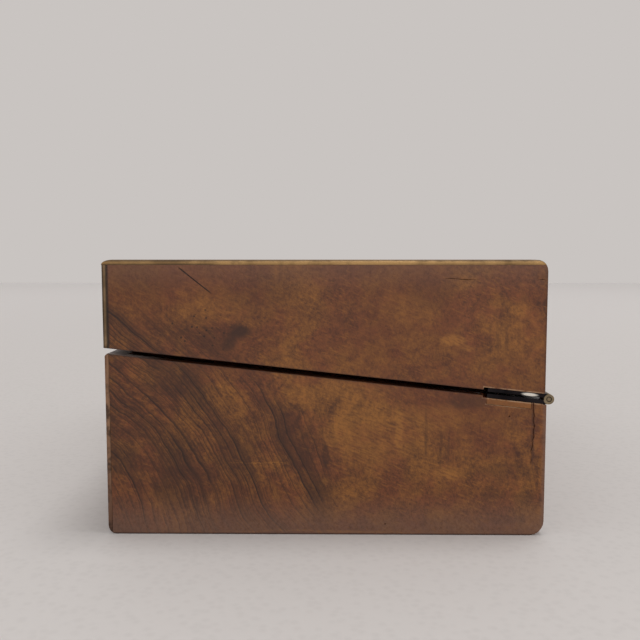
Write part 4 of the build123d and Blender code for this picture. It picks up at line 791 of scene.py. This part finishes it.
def swept(stations, profile, closed):
    """A bmesh swept through stations. Each station is (point, outward, up), and profile is a function that
    gives a list of (out, up) pairs for the station's number."""
    mesh = bmesh.new()
    rings = []
    for number, (point, outward, up) in enumerate(stations):
        rings.append([
            mesh.verts.new(point + outward * across + up * over) for across, over in profile(number)
        ])
    pairs = list(zip(rings, rings[1:])) + ([(rings[-1], rings[0])] if closed else [])
    for ring, after in pairs:
        for i in range(len(ring)):
            j = (i + 1) % len(ring)
            mesh.faces.new((ring[i], ring[j], after[j], after[i]))
    if not closed:
        mesh.faces.new(reversed(rings[0]))
        mesh.faces.new(rings[-1])
    bmesh.ops.recalc_face_normals(mesh, faces=mesh.faces)
    return mesh


END_ROUND, FRONT_ROUND, REAR_ROUND = 1.25 * MM, 2.3 * MM, 1.8 * MM  # outer arris of the brass
EDGING_STEP = 3.0 * MM  # between the sections of a strip
ARRIS = 0.15 * MM  # bevel of its other corners


def edging_section(rounding, place):
    """The brass section: a rounded outer corner and nearly square others. Noise at the place dents its side
    and sinks its top."""
    dent = max(0.0, noise.noise(place * 60.0) * 0.5 + noise.noise(place * 17.0) * 0.6 + 0.1) * 0.22 * MM
    sag = max(0.0, noise.noise(place * 23.0 + Vector((5.0, 0.0, 2.0))) + 0.2) * 0.16 * MM
    middle = (-dent - rounding, -sag - rounding)
    arc = [
        (middle[0] + rounding * cos(radians(angle)), middle[1] + rounding * sin(radians(angle)))
        for angle in range(0, 91, ARC_STEP)
    ]
    bottom = [(-BRASS, -BRASS), (-dent - ARRIS, -BRASS), (-dent, -BRASS + ARRIS)]
    inner = [(-BRASS + ARRIS, -sag), (-BRASS, -sag - ARRIS)]
    return bottom + arc + inner


def spread(start, end):
    """Points along a line, both ends included, about a step apart."""
    count = max(1, round((end - start).length / EDGING_STEP))
    return [start.lerp(end, i / count) for i in range(count + 1)]


def brass_edging(material):
    """Four mitred strips round the lid's top, swept as one loop."""
    corners = [
        Vector((x * HALF_WIDTH, y, TOP))
        for x, y in ((1, LID_FRONT), (1, LID_REAR), (-1, LID_REAR), (-1, LID_FRONT))
    ]
    up = Vector((0, 0, 1))
    stations, roundings = [], []
    for number, corner in enumerate(corners):
        after = corners[(number + 1) % 4]
        outward = (after - corner).normalized().cross(up)
        before = (corner - corners[number - 1]).normalized().cross(up)
        points = spread(corner, after)
        rounding = (END_ROUND, REAR_ROUND, END_ROUND, FRONT_ROUND)[number]
        stations.append((points[0], before + outward, up))
        stations += [(point, outward, up) for point in points[1:-1]]
        roundings += [rounding] * (len(points) - 1)
    mesh = swept(stations, lambda i: edging_section(roundings[i], stations[i][0]), closed=True)
    wear_corners(mesh, 0.0)
    add_piece("brass_top_edging", mesh, material, "lid", "brass", "lid_brass_edging")


def brass_corner_strips(material):
    """A strip down each of the lid's front corners, its foot cut on the slant."""
    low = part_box("lid_brass_corners")[0]
    mesh = bmesh.new()
    for side in (1, -1):
        foot, head = (Vector((side * HALF_WIDTH, LID_FRONT, z)) for z in (low.z, TOP - BRASS))
        outward, ahead = Vector((side, 0, 0)), Vector((0, -1, 0))
        points = spread(foot, head)
        strip = swept(
            [(point, outward, ahead) for point in points],
            lambda i: edging_section(END_ROUND, points[i]),
            closed=False,
        )
        for vertex in strip.verts:
            if vertex.co.z < low.z + MM / 2:
                vertex.co.z = along_slant(slant_of(vertex.co)[0], RIM).z
        joined = bpy.data.meshes.new("strip")
        strip.to_mesh(joined)
        strip.free()
        mesh.from_mesh(joined)
        bpy.data.meshes.remove(joined)
    wear_corners(mesh, 0.0)
    add_piece("brass_corner_strips", mesh, material, "lid", "brass", "lid_brass_corners")


LEATHER_STEP = 5 * MM  # between the leather's grid lines where nothing is tooled
TOOLED_DEEP = 0.14 * MM
TOOLED_SLOPE = 0.08 * MM  # half the width of a tooled line's sloping side
TURNED_DOWN = 0.25 * MM  # at the outer edge
TURNED_IN = 0.4 * MM  # width of the turned down edge


def grid_lines(length):
    """Places along one side of the leather: close together at its edge and at the tooled lines."""
    near = [0.0, TURNED_IN]
    for start, end in GILT_LINES:
        near += [start - TOOLED_SLOPE, start + TOOLED_SLOPE, end - TOOLED_SLOPE, end + TOOLED_SLOPE]
    inner = near[-1] + LEATHER_STEP
    count = max(1, round((length - 2 * inner) / LEATHER_STEP))
    middle = [inner + i * (length - 2 * inner) / count for i in range(count + 1)]
    return near + middle + [length - place for place in reversed(near)]


def leather_depth(inset, place):
    """How far below the leather's face a point is."""
    depth = max(0.0, noise.noise(place * 45.0) + 0.15) * 0.10 * MM
    if inset < 0.1 * MM:
        return depth + TURNED_DOWN
    for start, end in GILT_LINES:
        if start < inset < end:
            depth += TOOLED_DEEP
    return depth


def leather_sheet(node, material, body, upper):
    """Tooled leather as one closed sheet. upper is 1 if its face looks away from the hinge plane."""
    half, (near, far), (low, high) = slant_range(node)
    face, back = (high, low) if upper > 0 else (low, high)
    mesh = bmesh.new()
    rows = []
    for along in grid_lines(far - near):
        row = []
        for across in grid_lines(2 * half):
            inset = min(along, far - near - along, across, 2 * half - across)
            flat = along_slant(near + along, face, across - half)
            depth = leather_depth(inset, flat)
            row.append(mesh.verts.new(along_slant(near + along, face - upper * depth, across - half)))
        rows.append(row)
    for row, after in zip(rows, rows[1:]):
        for i in range(len(row) - 1):
            mesh.faces.new((row[i], row[i + 1], after[i + 1], after[i]))
    rim = rows[0] + [row[-1] for row in rows[1:-1]] + rows[-1][::-1] + [row[0] for row in rows[-2:0:-1]]
    under = []
    for vertex in rim:
        s = slant_of(vertex.co)[0]
        under.append(mesh.verts.new(along_slant(s, back, vertex.co.x)))
    for i in range(len(rim)):
        j = (i + 1) % len(rim)
        mesh.faces.new((rim[i], under[i], under[j], rim[j]))
    mesh.faces.new(under)
    bmesh.ops.recalc_face_normals(mesh, faces=mesh.faces)
    add_piece(f"tooled_{node}", mesh, material, body, "leather", node)


INK_DEEP = 4.5 * MM
WELL_FLOOR = 6.0 * MM  # thickness of the glass under the ink
BORE = 9.5 * MM  # radius inside the glass
INK_GAP = 0.05 * MM  # between ink and glass, at the side
INK_LIFT = 0.02 * MM  # and below


def ink_pool(hand, material):
    """What is left of the ink in a glass, drawn up a little against its wall."""
    low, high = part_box(f"{hand}_inkwell")
    middle = (low + high) / 2
    bottom = low.z + WELL_FLOOR
    radius = BORE - INK_GAP
    profile = [(0.0, INK_LIFT), (radius, INK_LIFT), (radius, INK_DEEP + 0.9 * MM)]
    profile += [(radius - 0.5 * MM, INK_DEEP + 0.25 * MM), (radius - 1.6 * MM, INK_DEEP), (0.0, INK_DEEP)]
    mesh = bmesh.new()
    points = [mesh.verts.new((middle.x + out, middle.y, bottom + up)) for out, up in profile]
    edges = [mesh.edges.new(pair) for pair in zip(points, points[1:])]
    bmesh.ops.spin(
        mesh, geom=points + edges, cent=(middle.x, middle.y, bottom), axis=(0, 0, 1), angle=2 * pi, steps=48
    )
    bmesh.ops.remove_doubles(mesh, verts=mesh.verts, dist=0.01 * MM)
    bmesh.ops.recalc_face_normals(mesh, faces=mesh.faces)
    add_piece(f"{hand}_ink", mesh, material, "base", "glass")


# ---- stage ------------------------------------------------------------------------------------------

FLOOR_SIZE = 9.0
FLOOR_NEAR, FLOOR_FAR = 0.4, 3.6  # between these distances from the middle the floor grows paler
LENS, SENSOR = 40.9, 36.0  # millimetres
EYE = Vector((HALF_WIDTH + 0.3875, 0.0014, TOP - 0.001))
PITCH, YAW = radians(4.60), radians(0.63)  # of the gaze, down and towards the lock side
WARM_WHITE = (1.0, 0.98, 0.96)
LIT_PLACE = Vector((0, 0, 0.08))


def floor():
    """A pale, finely textured floor that runs into the backdrop."""
    bpy.ops.mesh.primitive_plane_add(size=FLOOR_SIZE, location=(0, 0, 0))
    plane = bpy.context.object
    plane.name = "floor"
    p = Paint("pale_floor", specular_ior_level=0.2)
    beads = p.cells(p.place, 210.0)
    tint = p.mix(p.ramp(beads, 0.1, 0.6), srgb(207, 205, 204), srgb(211, 209, 208))
    # Painted light: the floor is made paler with distance, so that it meets the backdrop's brightness.
    far = p.ramp((p.x * p.x + p.y * p.y) ** 0.5, FLOOR_NEAR, FLOOR_FAR) ** 0.7
    tint = p.mix(far, tint, srgb(241, 240, 240))
    p.bump(beads, 0.08 * MM)
    plane.data.materials.append(p.finish(tint, 0.7))


def camera():
    """Close to the right-hand end, level with the lid's top."""
    lens = bpy.data.cameras.new("camera")
    lens.lens, lens.sensor_width = LENS, SENSOR
    eye = bpy.data.objects.new("camera", lens)
    bpy.context.collection.objects.link(eye)
    eye.location = EYE
    gaze = Vector((-cos(PITCH) * cos(YAW), -cos(PITCH) * sin(YAW), -sin(PITCH)))
    eye.rotation_euler = gaze.to_track_quat("-Z", "Y").to_euler()
    bpy.context.scene.camera = eye


def area_light(name, place, size, power):
    """A round soft light that points at the box. Its size is in metres and its power in watts."""
    light = bpy.data.lights.new(name, "AREA")
    light.shape, light.size, light.energy, light.color = "DISK", size, power, WARM_WHITE
    lamp = bpy.data.objects.new(name, light)
    bpy.context.collection.objects.link(lamp)
    lamp.location = place
    lamp.rotation_euler = (LIT_PLACE - Vector(place)).to_track_quat("-Z", "Y").to_euler()


def lights():
    """An even pale backdrop, a light overhead towards the hinge side and one far behind the camera."""
    world = bpy.data.worlds.new("studio")
    bpy.context.scene.world = world
    world.use_nodes = True
    backdrop = world.node_tree.nodes["Background"]
    backdrop.inputs[0].default_value = srgb(201, 196, 193)
    backdrop.inputs[1].default_value = 1.0
    area_light("key", (-0.05, 0.5, 3.2), size=1.0, power=26.0)
    area_light("fill", (3.0, 0.3, 1.6), size=1.6, power=28.0)
    bpy.context.scene.view_settings.view_transform = "Standard"


# ---- the whole box ----------------------------------------------------------------------------------

# Boxes round what is cut into the right-hand end's veneer, each from its lowest to its highest corner.
CRACKS = (Vector((0, 0.1112, 0.037)), Vector((1, 0.1135, 0.0728)))
LID_MARKS = (
    (Vector((0, 0.058, 0.137)), Vector((1, 0.082, 0.142))),
    (Vector((0, 0.111, 0.137)), Vector((1, 0.1182, 0.1405))),
    (Vector((0, -0.0805, 0.128)), Vector((1, -0.0575, 0.1466))),
)
PIN_HOLES = (
    (Vector((0, 0.031, 0.0045)), Vector((1, 0.0345, 0.0075))),
    (Vector((0, 0.0975, 0.064)), Vector((1, 0.101, 0.0675))),
)
FINE_CUTS = (CRACKS, *LID_MARKS, *PIN_HOLES)


def build():
    """A detailed piece for every CAD node, with the ink added."""
    paint = materials()
    for node, finish in (
        ("base_right_veneer", "right_end"), ("lid_right_veneer", "right_end"),
        ("base_left_veneer", "left_end"), ("lid_left_veneer", "left_end"),
        ("base_front_veneer", "front"), ("lid_front_veneer", "front"),
        ("base_rear_veneer", "rear"), ("lid_rear_veneer", "rear"),
        ("lid_top_veneer", "top"), ("veneer_patch", "patch"),
    ):
        worn_copy(node, paint[finish], 0.3 * MM, wear=0.16 * MM, keep_sharp=FINE_CUTS)
    worn_copy("base_corner_beads", paint["bead"], 0.55 * MM, wear=0.35 * MM)
    for node in ("base_bottom", "base_front_board", "base_rear_board", "lid_top_board", "lid_front_board",
                 "lid_rear_board", "pen_floor", "pen_partition", "drawer_rails", "hidden_panel"):
        worn_copy(node, paint["mahogany_across"], 0.35 * MM, wear=0.08 * MM, step=6 * MM)
    for node in ("base_left_board", "base_right_board", "lid_left_board", "lid_right_board", "pen_dividers",
                 "base_flap_ledges", "lid_flap_ledges"):
        worn_copy(node, paint["mahogany_deep"], 0.35 * MM, wear=0.08 * MM, step=6 * MM)
    for node in ("pen_tray", "nib_box_lid", "left_drawer", "right_drawer", "base_flap_board",
                 "lid_flap_board"):
        worn_copy(node, paint["mahogany_light"], 0.45 * MM)
    for node in ("cartouche", "escutcheon"):
        worn_copy(node, paint["brass"], 0.2 * MM)
    for node in ("base_left_hinge_leaf", "base_right_hinge_leaf", "lid_left_hinge_leaf",
                 "lid_right_hinge_leaf"):
        worn_copy(node, paint["hinge"], 0.22 * MM)
    worn_copy("hinge_pins", paint["barrel"], 0.35 * MM)
    for node in ("base_flap_pins", "lid_flap_pins", "lock_case", "lock_link_plate"):
        worn_copy(node, paint["brass"], 0.15 * MM)
    for node in ("inkwell_collars", "left_inkwell_cap", "right_inkwell_cap"):
        worn_copy(node, paint["brass"], 0.25 * MM)
    for node in ("base_screws", "lid_screws", "lock_bolt", "panel_spring"):
        worn_copy(node, paint["iron"], 0.08 * MM)
    for node in ("left_inkwell", "right_inkwell"):
        worn_copy(node, paint["glass"], 0.5 * MM)
    leather_sheet("base_flap_leather", paint["base_leather"], "base_flap", 1)
    leather_sheet("lid_flap_leather", paint["lid_leather"], "lid_flap", -1)
    for node in ("base_flap_tab", "lid_flap_tab"):
        worn_copy(node, paint["ribbon"], 0.2 * MM)
    brass_edging(paint["edging"])
    brass_corner_strips(paint["corner_strip"])
    for hand in ("left", "right"):
        ink_pool(hand, paint["ink"])


build()
floor()
camera()
lights()
